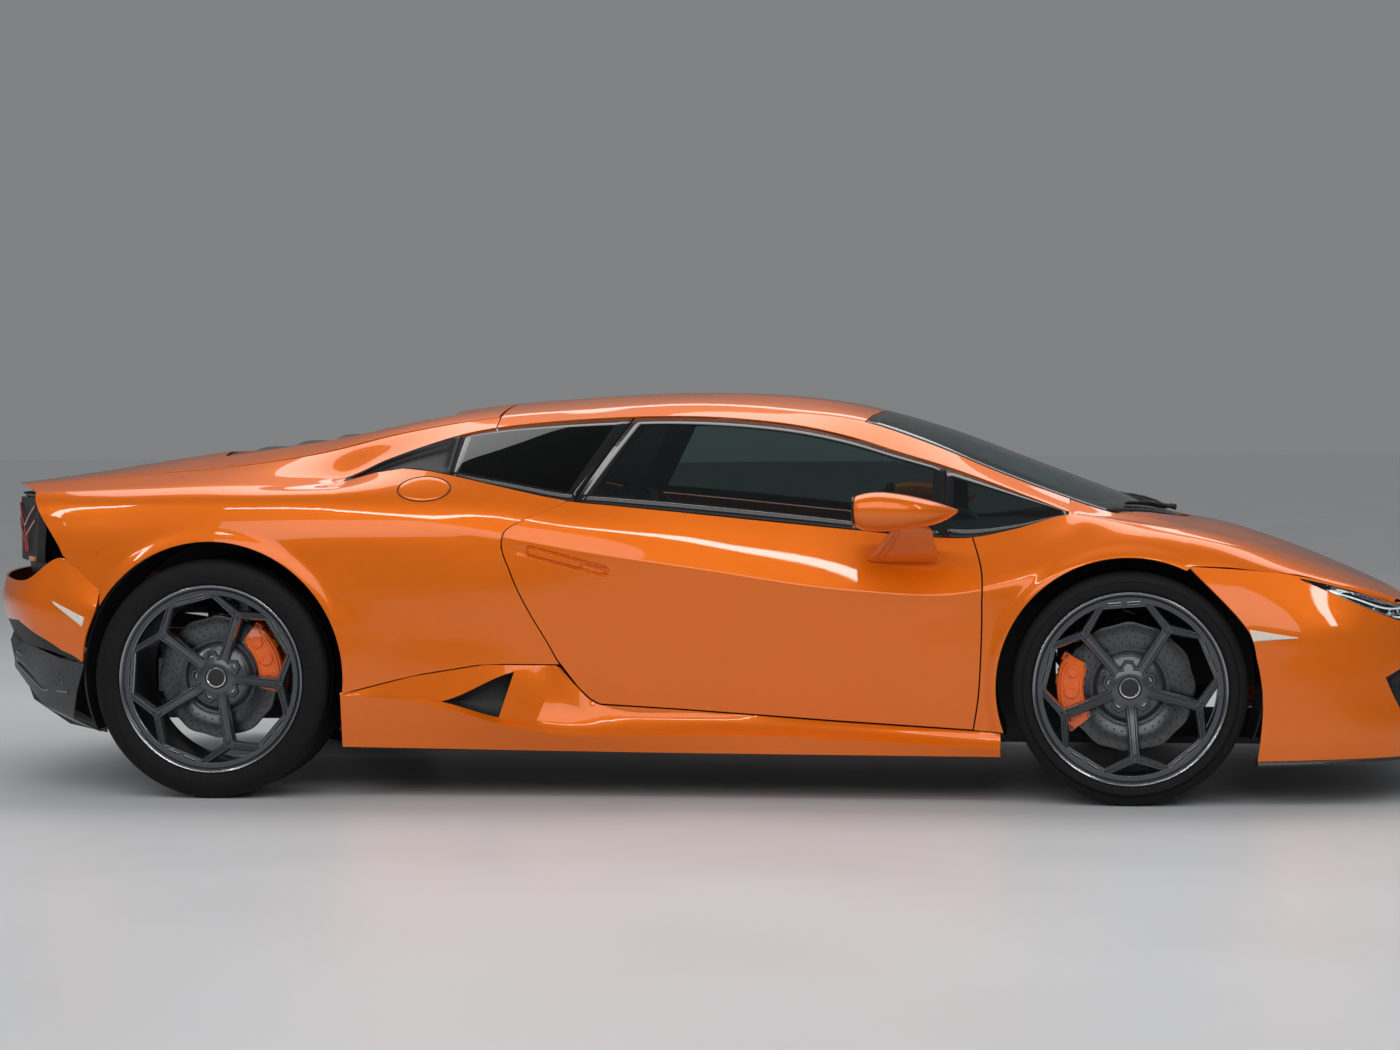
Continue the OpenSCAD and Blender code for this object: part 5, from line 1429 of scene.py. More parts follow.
def disc_knob(b, centre, r, deg, y0, y1, size, mat, n=20):
    """A short round boss on the caliper, hollow at its end."""
    knob = ((size, y0), (size, y1 - 1.5), (size - 1.5, y1), (size * 0.55, y1), (size * 0.5, y1 - 2.2))
    return b.loft(circles(polar(centre, r, deg, 0), knob, n), mat)


def caliper(b, centre, r, y0, mid):
    """A six-piston caliper over the disc, with mats 0 for its paint and 1 for its metal parts."""
    out, back = y0 + DISC_T, y0
    for s0, s1 in ((out + 4, out + 26), (back - 26, back - 4)):
        polar_block(b, centre, r - 54, r + 20, mid - 33, mid + 33, s0, s1, 0)
    for a in (mid - 30, mid - 10, mid + 10, mid + 30):
        polar_block(b, centre, r + 5, r + 24, a - 3.4, a + 3.4, back - 20, out + 20, 0, 3, 3, 0)
    for a in (-20, 0, 20):
        disc_knob(b, centre, r - 20, mid + a, out + 22, out + 31, 17 if a else 19, 0)
    polar_block(b, centre, r + 1, r + 12, mid - 26, mid + 26, out + 22, out + 30, 0, 12, 3, 3)
    polar_block(b, centre, r - 50, r - 42, mid - 27, mid + 27, out + 22, out + 29, 0, 12, 2, 3)
    for a in (-31, 31):
        disc_knob(b, centre, r + 12, mid + a, out + 24, out + 30, 4.5, 1, 6)
        disc_knob(b, centre, r - 46, mid + a, out + 24, out + 29, 6, 1, 6)
    for s0, s1 in ((back - 5, back - 0.6), (out + 0.6, out + 5)):
        polar_block(b, centre, r - 44, r - 6, mid - 24, mid + 24, s0, s1, 1, 8, 1, 0)
    return b


def knuckle(b, centre):
    """A hub carrier with its stub axle, ball joints and steering arm."""
    x, y, z = centre
    b.ring([(19.8, -34), (19.8, 62), (12, 66), (0.01, 66)], 32, centre, mat=2)
    b.ring([(0.01, -36), (58, -36), (62, -30), (62, -4), (54, 0), (20, 0)], 48, centre, mat=2)
    for s in (-1, 1):
        b.tube([(x, y - 27, z + s * 128), (x, y - 27, z + s * 96), (x, y - 22, z + s * 50)],
               [12, 13, 22], 20, 2)
    for s in (-1, 1):
        b.tube([(x - 60, y - 22, z + s * 30), (x - 150, y - 24, z + s * 22)], [20, 17], 16, 2)
    b.box(x - 200, x - 140, y - 34, y - 14, z - 48, z + 48, 2)


WHEELS = [("front", FRONT_X, WHEEL_FY, TYRE_RF, TYRE_WF, HUB_F, DISC_F, FRONT_SPOKES),
          ("rear", REAR_X, WHEEL_RY, TYRE_RR, TYRE_WR, HUB_R, DISC_R, REAR_SPOKES)]
for end, wx, wy, wr, ww, hub, (dr, dy), turn in WHEELS:
    centre = (wx, wy, wr)
    for k, s in enumerate(SIDES):
        body, right = f"{end}_{s}_wheel", k == 1
        piece(tyre_build(centre, wr, ww), f"{end}_{s}_tyre_tread", [TYRE, RUBBER], body,
              [f"{end}_{s}_tyre"], None, right)
        piece(rim_build(centre, ww, hub, turn), f"{end}_{s}_alloy", [ALLOY, EDGE_HIGHLIGHT_METAL, BLACK, CHROME],
              body, [f"{end}_{s}_rim"], rounded(1.0), right)
        piece(disc_build(centre, dr, dy, hub), f"{end}_{s}_brake_disc", [IRON, HAT, BLACK], body,
              [f"{end}_{s}_disc"], rounded(0.5, 50, 1), right)

upright = Build()
centre = (FRONT_X, WHEEL_FY, TYRE_RF)
knuckle(upright, centre)
caliper(upright, centre, *DISC_F, 184)
for k, s in enumerate(SIDES):
    piece(upright, f"front_{s}_upright", [CALIPER, STEEL, CAST], f"front_{s}_knuckle",
          [f"front_{s}_knuckle"], solid(1.2, 40), k == 1)


def coil(b, foot, head, r, rounds, wire):
    """A coil spring from foot to head round its damper."""
    a, c = Vector(foot), Vector(head)
    t = (c - a).normalized()
    u = t.cross(Vector((1, 0, 0))).normalized()
    v = t.cross(u)
    b.tube([a + (c - a) * share + (u * math.cos(w) + v * math.sin(w)) * r
            for share, w in zip(steps(rounds * 14), turns(14) * rounds + [0.0])], wire, 8, 1)
    b.tube([a, a.lerp(c, 0.55)], r * 0.5, 16, 2)
    b.tube([a.lerp(c, 0.5), c], r * 0.28, 16, 1)


sus = Build()
fy, ry = WHEEL_FY, WHEEL_RY
for z in (-114, 114):
    for x in (-120, 120):
        sus.tube([(FRONT_X + x, 533, TYRE_RF + z), (FRONT_X + x * 0.3, 700, TYRE_RF + z),
                  (FRONT_X, fy - 27, TYRE_RF + z)], [12, 11, 15], 14, 2)
coil(sus, (FRONT_X, 700, 225), (FRONT_X, 560, 560), 34, 7, 6)
centre = (REAR_X, ry, TYRE_RR)
knuckle(sus, centre)
caliper(sus, centre, *DISC_R, 20)
for z in (-105, 100):
    for x in (-130, 120):
        sus.tube([(REAR_X + x, 405, TYRE_RR + z), (REAR_X + x * 0.4, 620, TYRE_RR + z),
                  (REAR_X, ry - 28, TYRE_RR + z)], [13, 12, 16], 14, 2)
sus.tube([(REAR_X, 405, TYRE_RR), (REAR_X, ry - 36, TYRE_RR)], 17, 20, 2)
coil(sus, (REAR_X - 60, 690, 260), (REAR_X - 60, 520, 640), 38, 8, 7)
for k, s in enumerate(SIDES):
    piece(sus, f"{s}_suspension_arms", [CALIPER, STEEL, CAST], "chassis",
          ["suspension"] if k == 0 else [], solid(1.0, 45, 1), k == 1)

# ---------- mirrors ----------
# The mirror head's outlines along x: inner and outer y, its top's z and its underside's z
HEAD_PLAN = [(458, 950, 1112), (480, 944, 1116), (520, 938, 1117), (560, 935, 1112), (640, 939, 1092),
             (700, 942, 1050), (730, 952, 1012), (747, 966, 986)]
HEAD_TOP = [(458, 868), (475, 873), (520, 881), (560, 878), (620, 868), (700, 846), (735, 832),
            (747, 828)]
HEAD_LOW = [(458, 788), (475, 776), (520, 769), (560, 768), (620, 776), (700, 793), (735, 812),
            (747, 822)]
mirror = Build()
rings = []
for x, grow in ((460, 0.93), (466, 0.985), (480, 1), (500, 1), (530, 1), (565, 1), (600, 1), (635, 1),
                (670, 1), (700, 1), (722, 1), (738, 1), (747, 1)):
    y0, y1 = on(HEAD_PLAN, x, 1), on(HEAD_PLAN, x, 2)
    z0, z1 = on(HEAD_LOW, x), on(HEAD_TOP, x)
    ym, zm = (y0 + y1) / 2, lerp(z0, z1, 0.54)
    line = []
    for a in turns(32):
        c, q = math.cos(a), math.sin(a)
        y = ym + (y1 - y0) / 2 * grow * power(c, 0.62 if q > 0 else 0.78)
        half = (z1 - zm) if q > 0 else (zm - z0)
        line.append((x, y, zm + half * grow * power(q, 0.86 if q > 0 else 1.05)))
    rings.append(line)
mirror.loft(rings, 0)
GLASS_Y, GLASS_Z = 1031, 829


def glass_ring(x, grow):
    """The head's third ring, shrunk about the mirror glass's middle."""
    return [(x, GLASS_Y + (p[1] - GLASS_Y) * grow, GLASS_Z + (p[2] - GLASS_Z) * grow) for p in rings[2]]


surround = [glass_ring(x, grow) for x, grow in ((461, 0.90), (457.5, 0.90), (457.5, 0.82), (461, 0.80))]
mirror.loft(surround[::-1], 1, caps=False)
mirror.add(glass_ring(459.5, 0.82), [tuple(range(32))[::-1]], 2)
stalk = []
for x0, x1, y, z, w in ((474, 700, 0, 680, 8), (482, 694, 14, 684, 7), (508, 684, 40, 712, 7),
                        (545, 676, 74, 752, 8), (566, 672, 96, 790, 9)):
    y_skin = side_y(x0 + 60, 680) - 2
    stalk.append([((x0 + x1) / 2 + (x1 - x0) / 2 * power(math.cos(a), 0.7),
                   y_skin + y + w * 0.8 * math.sin(a), z - w * 0.8 * math.sin(a)) for a in turns(14)])
mirror.loft(stalk[::-1], 0)
for f in (0.12, 0.22):
    mirror.tube([(lerp(r[7][0], r[0][0], f), r[3][1] + 2.0, r[3][2] - 2.0) for r in stalk[1:]], 1.6, 8)


def mirror_done(ob):
    recalc(ob)
    sub = ob.modifiers.new("smooth", "SUBSURF")
    sub.levels = sub.render_levels = 1


pair(mirror, "mirror_head", [PAINT, BLACK_GLOSS, CHROME], DOORS, "mirror", mirror_done)


# ---------- cabin ----------
def cushion(b, path, half_w, thick, crown=0.0):
    """A padded slab along an (x, z) path: thickness and crown grow towards its middle."""
    pts = [Vector((x, 0, z)) for x, z in path]
    rings = []
    for i, p in enumerate(pts):
        t = (pts[min(len(pts) - 1, i + 1)] - pts[max(0, i - 1)]).normalized()
        nrm = Vector((-t.z, 0, t.x))
        e = min(i, len(pts) - 1 - i)
        k = (0.5, 0.84, 0.97)[e] if e < 3 else 1.0
        w, h = half_w[i] * (0.94 + 0.06 * k), thick[i] * k / 2
        line = []
        for a in turns(44):
            u, v = w * power(math.cos(a), 0.34), h * power(math.sin(a), 0.5)
            v += crown * (u / w) ** 2 * k if math.sin(a) > 0 else 0
            line.append(tuple(p + Vector((0, u, 0)) + nrm * v))
        rings.append(line)
    return b.loft(rings)


def wrinkled(ob, strength, size):
    """A soft surface: subdivided, with a gentle uneven relief."""
    sub = ob.modifiers.new("soft", "SUBSURF")
    sub.levels = sub.render_levels = 1
    tex = bpy.data.textures.new(f"{ob.name}_relief", "CLOUDS")
    tex.noise_scale = size
    d = ob.modifiers.new("relief", "DISPLACE")
    d.texture, d.strength, d.texture_coords = tex, strength * MM, "LOCAL"


SEAT_Y = 350
shell, pads, sides, seams = Build(), Build(), Build(), Build()
cushion(shell, [(-150, 196), (-190, 240), (-232, 360), (-268, 500), (-302, 640), (-332, 760),
                (-356, 850), (-372, 900)],
        [190, 215, 225, 228, 222, 190, 130, 110], [40, 46, 50, 50, 48, 44, 40, 36])
cushion(shell, [(-210, 172), (-150, 168), (-20, 170), (120, 176), (205, 190), (226, 214)],
        [205, 225, 230, 228, 215, 200], [36, 44, 46, 46, 42, 36])
cushion(pads, [(-146, 262), (-110, 268), (-40, 262), (40, 262), (120, 268), (182, 282), (206, 268)],
        [118, 128, 132, 132, 130, 124, 110], [66, 76, 80, 80, 80, 76, 60], 5)
cushion(pads, [(-118, 300), (-146, 372), (-176, 470), (-204, 560), (-236, 650), (-262, 716)],
        [110, 124, 126, 122, 112, 96], [52, 60, 62, 60, 56, 48], 8)
cushion(pads, [(-276, 752), (-290, 796), (-306, 846), (-318, 874)], [84, 100, 100, 84], [48, 60, 60, 46])
for m in (1, -1):
    low, high = Build(), Build()
    cushion(low, [(-138, 276), (-110, 300), (-20, 312), (80, 308), (160, 292), (190, 276)],
            [26, 34, 36, 36, 34, 26], [60, 84, 92, 90, 84, 60])
    cushion(high, [(-108, 300), (-118, 376), (-146, 480), (-176, 570), (-214, 660), (-246, 740),
                   (-274, 808), (-300, 858)],
            [24, 34, 38, 38, 36, 34, 30, 22], [56, 88, 104, 104, 98, 96, 84, 44])
    for bolster, dy in ((low, 166), (high, 162)):
        sides.add([(p[0], p[1] + m * dy, p[2]) for p in bolster.v], bolster.f)
    seams.tube([(-134, m * 131, 306), (-60, m * 133, 306), (40, m * 133, 306), (130, m * 131, 308),
                (186, m * 122, 300)], 1.6, 6)
    seams.tube([(-96, m * 124, 336), (-116, m * 128, 400), (-146, m * 127, 480), (-176, m * 122, 565),
                (-214, m * 110, 655)], 1.6, 6)
for x, z in ((-60, 303.5), (20, 303.5), (100, 305)):
    seams.tube([(x, y, z + 0.0002 * y * y) for y in range(-116, 117, 29)], 1.4, 6)
for x, z in ((-122, 440), (-148, 525), (-178, 612)):
    seams.tube([(x + 0.00025 * y * y, y, z) for y in range(-104, 105, 26)], 1.4, 6)


def place_seat(build, name, mat, y, relief, nodes=()):
    """A piece of the seat, moved to its side, with an uneven relief of (strength, size)."""
    def finish(ob):
        if relief:
            recalc(ob)
            wrinkled(ob, *relief)
        ob.location.y = y * MM
    return piece(build, name, mat, "chassis", nodes, finish)


for s, y in zip(SIDES, (SEAT_Y, -SEAT_Y)):
    ob = place_seat(shell, f"{s}_seat_shell", LEATHER, y, (2.0, 0.12), ["seats"] if y > 0 else [])
    ob = place_seat(pads, f"{s}_seat_pads", LEATHER, y, (3.5, 0.09))
    ob = place_seat(sides, f"{s}_seat_bolsters", ORANGE_LEATHER, y, (3.0, 0.08))
    place_seat(seams, f"{s}_seat_seams", STITCH, y, None)

# dashboard, console and door linings
dash = Build()
prof = [(604, 600), (592, 640), (600, 690), (626, 732), (668, 756), (730, 768), (900, 766), (1000, 762),
        (1000, 740), (760, 700), (700, 600), (660, 575)]
dash.loft([[(x + dx, y, z + dz) for x, z in prof] for y, dx, dz in
           ((-672, 30, -22), (-560, 4, -4), (-420, 0, 0), (-200, 0, 0), (-60, 6, 0), (60, 6, 0),
            (200, 0, 0), (480, 0, 0), (560, 4, -4), (672, 30, -22))], 0)
for outline, stations, mat in (
        (((560, 676), (548, 700), (566, 770), (620, 800), (720, 796), (770, 768), (700, 660)),
         (212, 232, 350, 468, 488), 0),
        (((558, 682), (552, 700), (566, 760), (574, 758), (562, 690)), (236, 464), 2),
        (((586, 600), (574, 640), (590, 730), (604, 736), (620, 600)), (-96, -84, 84, 96), 2)):
    dash.loft([[(x, y, z) for x, z in outline] for y in stations], mat)
for y in (-520, -300, 600, -620):
    vent = [[(x, y + 34 * math.cos(a), 672 + 26 * math.sin(a)) for a in turns(6)] for x in (594, 586)]
    dash.loft(vent, 3)
console = [(-370, 350), (-330, 372), (-100, 378), (120, 384), (330, 402), (470, 470), (560, 590),
           (610, 610)]
dash.loft([[(x, -86, 158), (x, -86, z - 14), (x, -74, z), (x, 74, z), (x, 86, z - 14), (x, 86, 158)]
           for x, z in console])
dash.loft([[(x, -52, z), (x, 52, z), (x, 52, z + 3), (x, -52, z + 3)]
           for x, z in ((-60, 378), (120, 384), (330, 402), (466, 468))], 2)
for y in (-30, 0, 30):
    dash.tube([(300, y, 398), (300, y, 410), (304, y, 414)], [9, 9, 6], 14, 3)
# steering column and its stalks, on the driver's side
dash.tube([(430, SEAT_Y, 715), (585, SEAT_Y, 658)], [26, 34], 20)
for m in (1, -1):
    dash.tube([(452, SEAT_Y + m * 26, 706), (440, SEAT_Y + m * 90, 716), (428, SEAT_Y + m * 136, 726)],
              [7, 6, 8], 10, 3)
piece(dash, "dashboard_trim", [LEATHER, ORANGE_LEATHER, SCREEN, CHROME], "chassis",
      ["dashboard"], solid(5, 38, 3))

trimmed = Build()
for lo, hi, mat in ((3.2, 4.6, 0), (4.7, 5.6, 1)):
    lining = patch(lambda p: on(DOOR_REAR, p[2]) + 60, lambda p: 700, -330, 700,
                   between(fixed(lo), fixed(hi), 6, True), steps(20))
    lining = [[(p[0], p[1] - 74 - 6 * math.sin(math.pi * j / 20), p[2]) for j, p in enumerate(r)]
              for r in lining]
    trimmed.grid(lining, mat=mat, flip=True)
low_panel = [[(x, 822 - 6 * math.sin(math.pi * (x + 300) / 980), z) for x in range(-260, 701, 60)]
             for z in (262, 330, 430, 540)]
trimmed.grid(low_panel, mat=0, flip=True)
shut_face = [r[-1] for r in door_grid[::-1]] + door_grid[0][::-1] + [r[0] for r in door_grid]
trimmed.grid([[(p[0], p[1] - 6, p[2]) for p in shut_face],
              [(min(700, max(p[0], on(DOOR_REAR, p[2]) + 60)), p[1] - 72, max(p[2], 262))
               for p in shut_face]])
trimmed.tube([(-180, 800, 566), (-60, 780, 574), (120, 778, 572), (300, 790, 560)],
             [14, 20, 20, 14], 14, 1)
pair(trimmed, "door_lining", [LEATHER, ORANGE_LEATHER], DOORS, None, sheet(5))

# steering wheel, tilted on its column
wheel = Build()
rim_pts = []
for a in turns(64):
    r = 164 if math.sin(a) > -0.8 else 164 * (0.8 / abs(math.sin(a)))
    rim_pts.append((r * math.cos(a), r * math.sin(a), 0))
wheel.tube(rim_pts + rim_pts[:2], 13.5, 14, 0, caps=False)
wheel.loft([[(r * math.cos(a), r * 0.9 * math.sin(a), z) for a in turns(40)] for r, z in
            ((30, 26), (46, 24), (52, 14), (52, 4), (46, -8), (20, -12))])
for a in (180, 0, 250, 290):
    c, s = math.cos(math.radians(a)), math.sin(math.radians(a))
    wheel.loft([[(r * c - s * u, r * s + c * u, v + 2) for u, v in ((-w, -h), (w, -h), (w, h), (-w, h))]
                for r, w, h in ((44, 20, 8), (90, 12, 5), (156, 14, 5))], 1)
axle = Matrix.Rotation(math.radians(90 + 20), 3, "Y")


def tilted(p):
    """The wheel's own point p in the car's frame."""
    q = axle @ Vector((-p[1], -p[0], p[2]))
    return (430 + q.x, SEAT_Y + q.y, 715 + q.z)


wheel.v = [tilted(p) for p in wheel.v]
piece(wheel, "steering_wheel_grip", [LEATHER, CARBON], "steering_wheel",
      ["steering_wheel"], solid(2.5, 40))

# roof lining, rear bulkhead lining and parcel shelf
lining = Build()
roof_inside = patch(lambda p: -600, lambda p: header_x(p[1]) - 10, -600, 480,
                    [fixed(DECK + k / 5) for k in range(21)], steps(16))
lining.grid([[(p[0], p[1] * 0.97, p[2] - 26) for p in r] for r in roof_inside], flip=True)
HALF_CABIN = 690
bulkhead = []
for y in range(-HALF_CABIN, HALF_CABIN + 1, 115):
    x = -440 - 34 * math.sin(math.pi * (y + HALF_CABIN) / (2 * HALF_CABIN))
    bulkhead.append([(-474, y, 152), (-474, y, 640), (x, y, 640), (x, y, 152)])
lining.loft(bulkhead, 1)
lining.loft([[(-478, y, 640), (-478, y, 846), (-600, y, 850), (-600, y, 862), (-440, y, 858),
              (-452, y, 640)] for y in (-620, -300, 0, 300, 620)], 0)
piece(lining, "cabin_lining", [CARPET, LEATHER], "chassis", finish=sheet(4))

# wipers
WIPER_GAP = -52
nrm = Vector((0.42, 0, 0.9)).normalized()
wipers = Build()
for v0, v1 in ((8.45, 9.55), (10.0, 11.5)):
    arm, blade = [], []
    for k in range(13):
        v = lerp(v0, v1, k / 12)
        p = Vector(skin(edge_x(lambda p: cowl_x(p[1]), 1200, fixed(v)) + WIPER_GAP, v))
        blade.append(p + nrm * 5.5)
        if k % 3 == 0:
            arm.append(p + nrm * (12 if 0 < k < 12 else 9) + Vector((8, 0, 0)))
    wipers.tube(blade, 4.2, 8)
    wipers.tube(arm, [7, 6, 5, 4, 3.4], 10, 1)
    wipers.tube([arm[0] + Vector(d) for d in ((10, 0, -8), (14, 0, 4), (15, 0, 8))], [13, 13, 9], 18, 1)
piece(wipers, "wiper_blades", [RUBBER, BLACK], "chassis", ["wipers"], solid())

# black cowl panel between the windscreen and the bonnet
cowl = patch(lambda p: cowl_x(p[1]) - 1, lambda p: cowl_x(p[1]) + 32, 1200, 1260,
             [fixed(8.05 + 3.9 * k / 30) for k in range(31)], steps(5))
cowl = [[(p[0], p[1], p[2] - drop) for p, drop in zip(r, (9, 15, 17, 16, 14, 12))] for r in cowl]
piece(Build().grid(cowl), "cowl_panel", BLACK, "chassis", finish=sheet(3))

# ---------- engine bay ----------
eng = Build()
block = ((-230, 190), (230, 190), (260, 420), (330, 560), (300, 640), (-300, 640), (-330, 560),
         (-260, 420))
valve_cover = ((150, 600), (320, 560), (342, 620), (300, 700), (190, 720))
eng.loft([[(x, y, z) for y, z in block] for x in (-1230, -1180, -640, -585)])
for s in (1, -1):
    eng.loft([[(x, s * y, z) for y, z in valve_cover] for x in (-1220, -1200, -640, -620)], 1)
    for x in range(-1140, -679, 115):
        eng.tube([(x, s * 180, 700), (x, s * 110, 742), (x, s * 40, 738), (x, 0, 716)],
                 [24, 26, 26, 24], 16, 2)
        eng.tube([(x, s * 300, 700), (x, s * 300, 716)], [16, 14], 16, 3)
eng.loft([[(x, y, z) for y, z in ((-90, 700), (90, 700), (84, 738), (60, 746), (-60, 746), (-84, 738))]
          for x in (-1210, -1190, -640, -620)], 2)
eng.box(-1488, -1225, -225, 225, 232, 538, 0)
eng.tube([(-1230, 0, 400), (-1300, 0, 390), (-1480, 0, 380)], [200, 190, 120], 32, 0)
piece(eng, "engine_unit", [CAST, CARBON, CAST, CHROME], "chassis", ["engine_block"],
      solid(5, 38))

# slats across the engine cover's opening, with strips along its edges
slats = Build()
for x in range(LOUVRE_X[0] + 24, LOUVRE_X[1] - 105, 126):
    slat = []
    for v in LOUVRE_ROWS:
        a, c = skin(x, v), skin(x + 92, v)
        slat.append([(q[0], q[1], q[2] - drop) for q, drop in ((a, 4), (c, 34), (c, 39), (a, 9))])
    slats.loft(slat)
for s in (1, -1):
    edge = []
    for x in range(LOUVRE_X[0] - 8, LOUVRE_X[1] + 20, 46):
        p = skin(x, LOUVRE_V[0] - 0.02)
        edge.append([(p[0], (p[1] + dy) * s, p[2] - drop) for dy, drop in
                     ((6, 7), (-6, 7), (-4, 52), (6, 52))])
    slats.loft(edge)
for x in (LOUVRE_X[0] - 6, LOUVRE_X[1] + 4):
    rail = [skin(x, v) for v in LOUVRE_ROWS]
    slats.loft([[(x + dx, p[1], p[2] - drop) for dx, drop in ((-6, 7), (6, 7), (6, 46), (-6, 46))]
                for p in rail])
piece(slats, "engine_cover_slats", [BLACK, MESH], "engine_cover", finish=solid(1.5))


# ---------- window pillars and the cabin's rear glass ----------
def inner_strip(edge, half, depth):
    """A strip behind the side glass along the line edge(p)."""
    g = patch(lambda p: edge(p) - half, lambda p: edge(p) + half, edge((0, 0, 900)) - 1,
              edge((0, 0, 900)) + 1, between(fixed(BELT + 0.02), fixed(RAIL - 0.03), 10, True), steps(4))
    return sunk(g, lambda p: depth)


posts = Build()
posts.grid(inner_strip(pillar_x, 46, 12))
posts.grid(inner_strip(lambda p: DIVIDER, 13, 12))
pair(posts, "window_posts", BLACK, "chassis", None, skinned(10, 2, 40))

cabin_glass = []
for t in steps(10):
    w, z = lerp(518, 430, t), lerp(853, 1036, t)
    bow = 14 * math.sin(math.pi * min(1, t + 0.2)) * 0.4
    cabin_glass.append([(-632 - bow * (1 - (y / w) ** 2), y, z)
                        for y in [w * (1 - k / 10) for k in range(21)]])
piece(Build().grid(cabin_glass, pick=lambda i, j: 1 if i in (0, 9) or j in (0, 19) else 0),
      "cabin_rear_glass", [GLASS, BLACK_GLOSS], "chassis", finish=skinned(4))


# ---------- filler flap ----------
def flap_point(r, a, out):
    """A point of the oval flap at share r of its size, out from the skin."""
    x = -791 + 76 * r * math.cos(a)
    z = 888 + 35 * r * math.sin(a)
    p, q = skin(x, at_height(x, z)), skin(x, at_height(x, z + 4))
    n = Vector((0, q[2] - p[2], p[1] - q[1])).normalized()
    return tuple(Vector(p) + n * out)


flap = Build()
angles = turns(64)
flap.loft([[flap_point(r, a, out) for a in angles] for r, out in
           ((0.955, -2.0), (0.95, 0.9), (0.93, 1.5), (0.7, 1.7), (0.4, 1.8), (0.1, 1.8), (0.02, 1.8))])
flap.tube([flap_point(0.99, a, 0.4) for a in angles + angles[:2]], 1.7, 8, 1, caps=False)
piece(flap, "filler_flap", [PAINT, BLACK], "chassis", finish=solid(), right=True)


# ---------- side markers ----------
def on_table(table, x, z, ends, rows, rising):
    """The table's surface point at station x and height z."""
    w0, w1 = rows
    for _ in range(16):
        w = (w0 + w1) / 2
        u0, u1 = ends
        for _ in range(16):
            u = (u0 + u1) / 2
            if (table_point(table, u, w)[0] < x) == rising:
                u0 = u
            else:
                u1 = u
        p = table_point(table, u, w)
        if p[2] < z:
            w0 = w
        else:
            w1 = w
    return p


def marker(name, table, ends, rows, rising, top, low):
    """A thin lens on a bumper between its top and low edges, each a list of (x, z)."""
    g = []
    for t in (0, 0.12, 0.5, 0.88, 1):
        line = []
        for s in steps(12):
            x, z = mix(mix(*low, s), mix(*top, s), t)
            p = on_table(table, x, z, ends, rows, rising)
            lift = 0.4 if t in (0, 1) or s in (0, 1) else 3.0
            line.append((p[0], p[1] + lift, p[2]))
        g.append(line)
    pair(Build().grid(g), name, MARKER, "chassis", None, skinned(2.5, 0.8, 30))


marker("front_marker", NOSE, (5.6, 7), (2.6, 5), False, [(1546, 494), (1680, 472)],
       [(1556, 461), (1678, 469)])
marker("rear_marker", TAIL, (4.2, 6), (1.0, 3), True, [(-1882, 568), (-1776, 521)],
       [(-1880, 560), (-1785, 494)])


# ---------- studio and camera ----------
def area_light(name, place, aim, size, power, size_y):
    data = bpy.data.lights.new(name, "AREA")
    data.energy, data.shape = power, "RECTANGLE"
    data.size, data.size_y = size, size_y
    ob = bpy.data.objects.new(name, data)
    ob.location = place
    ob.rotation_mode = "QUATERNION"
    ob.rotation_quaternion = (Vector(aim) - Vector(place)).to_track_quat("-Z", "Y")
    scene.collection.objects.link(ob)


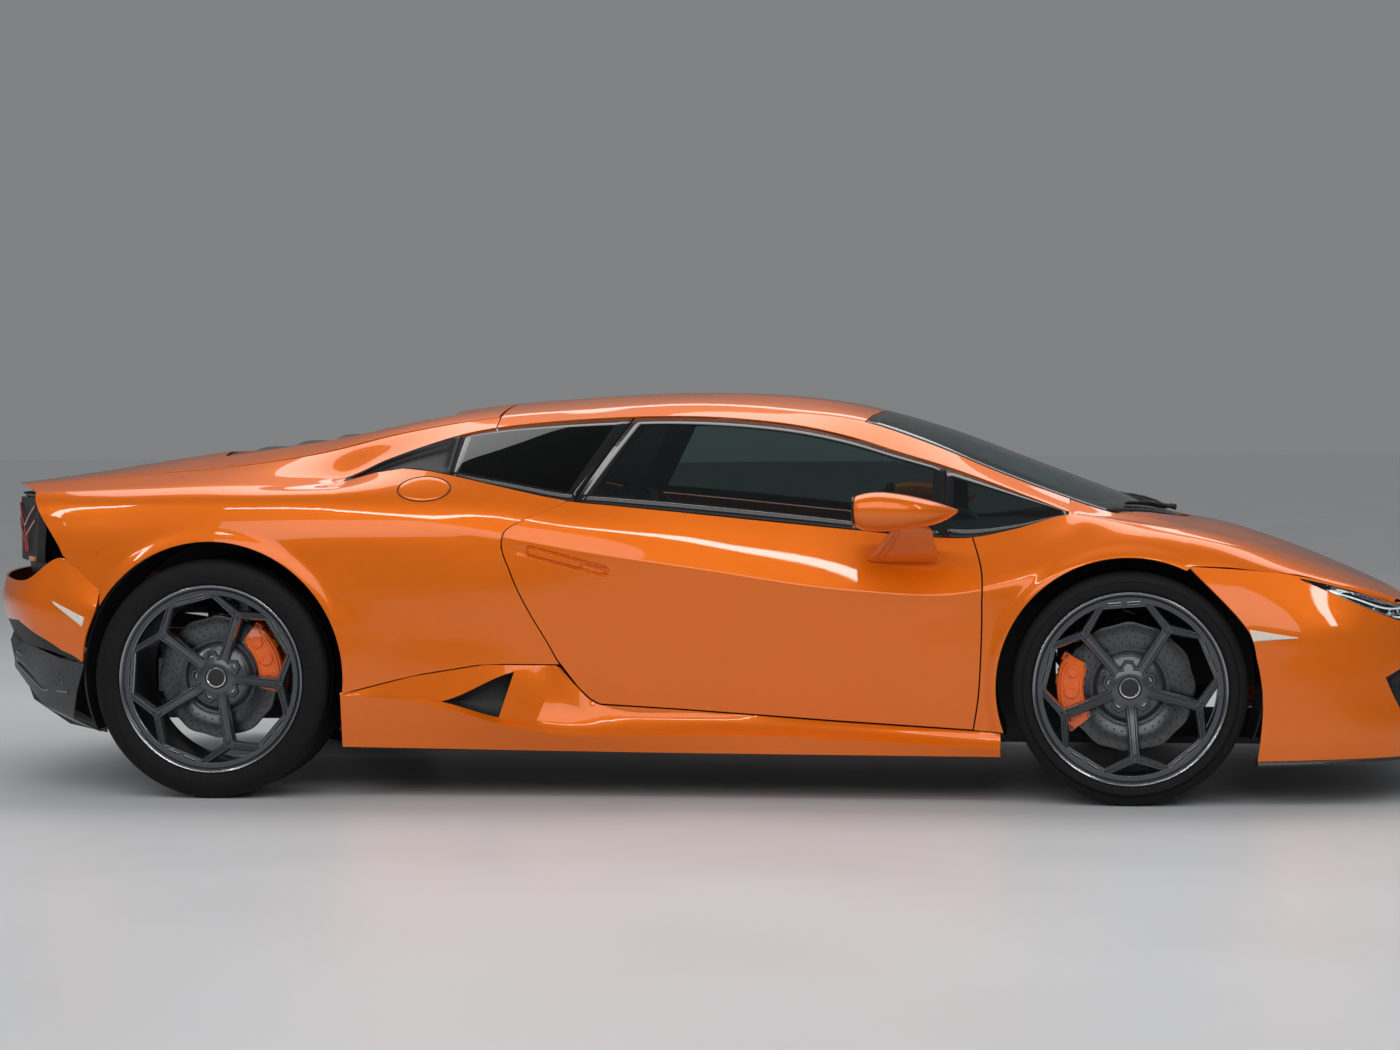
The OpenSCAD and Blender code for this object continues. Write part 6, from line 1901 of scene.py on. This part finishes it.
floor_mat = material("studio_floor", (0.56, 0.57, 0.58), 0.38, spot=0.03, spot_scale=0.8,
                     rough_var=0.06, rough_scale=1.5, bump=0.02, bump_scale=30)
floor = mesh_object("studio_ground", [(-90000, -40000, 0), (90000, -40000, 0), (90000, 120000, 0),
                                      (-90000, 120000, 0)], [(0, 1, 2, 3)], floor_mat)
area_light("ceiling_softbox", (0, 2.2, 6.0), (0, 0.4, 0), 9.0, 210, 3.0)
area_light("side_softbox", (0.5, -8.5, 4.8), (0, 0, 0.5), 10.0, 230, 4.0)
area_light("far_softbox", (0, 8.0, 6.6), (0, 0, 0.5), 8.0, 90, 1.6)
area_light("shoulder_strip", (-0.3, -3.9, 4.4), (0, 0, 0.7), 5.2, 42, 0.16)
area_light("front_strip", (3.9, -3.2, 3.6), (1.6, -0.6, 0.7), 0.2, 22, 2.6)
area_light("rear_strip", (-4.2, -3.2, 3.4), (-1.6, -0.6, 0.8), 0.2, 22, 2.6)
world = bpy.data.worlds.new("studio")
scene.world = world
world.use_nodes = True
path = add_node(world, "LightPath")


def sky(grey, strength):
    values = {"Color": (*grey, 1), "Strength": strength}
    return add_node(world, "Background", values).outputs["Background"]


def blend(ray, off, on_ray):
    node = add_node(world, "MixShader", feeds={"Fac": path.outputs[ray]})
    for place, shader in ((1, off), (2, on_ray)):
        world.node_tree.links.new(shader, node.inputs[place])
    return node.outputs["Shader"]


light = sky((0.97, 0.98, 1.0), 0.50)
mirrored = sky((0.94, 0.97, 1.0), 0.13)
through_glass = sky((0.9, 0.97, 1.0), 0.5)
seen = sky((0.97, 0.985, 1.0), 0.225)
out = blend("Is Glossy Ray", light, mirrored)
out = blend("Is Transmission Ray", out, through_glass)
out = blend("Is Camera Ray", out, seen)
set_inputs(world, world.node_tree.nodes["World Output"], feeds={"Surface": out})
scene.view_settings.view_transform = "Standard"

cam_data = bpy.data.cameras.new("camera")
cam_data.lens, cam_data.sensor_width = 77.14, 36
cam_data.clip_start, cam_data.clip_end = 0.1, 200
cam = bpy.data.objects.new("camera", cam_data)
scene.collection.objects.link(cam)
yaw, pitch, roll = (math.radians(a) for a in (6.777, -1.764, -0.316))
ahead = Vector((-math.sin(yaw) * math.cos(pitch), math.cos(yaw) * math.cos(pitch), math.sin(pitch)))
right = Vector((math.cos(yaw), math.sin(yaw), 0))
up = right.cross(ahead)
r2 = right * math.cos(roll) + up * math.sin(roll)
u2 = up * math.cos(roll) - right * math.sin(roll)
view = Matrix((r2, u2, -ahead)).transposed().to_4x4()
view.translation = Vector((1.017, -9.337, 1.046))
cam.matrix_world = view
scene.camera = cam
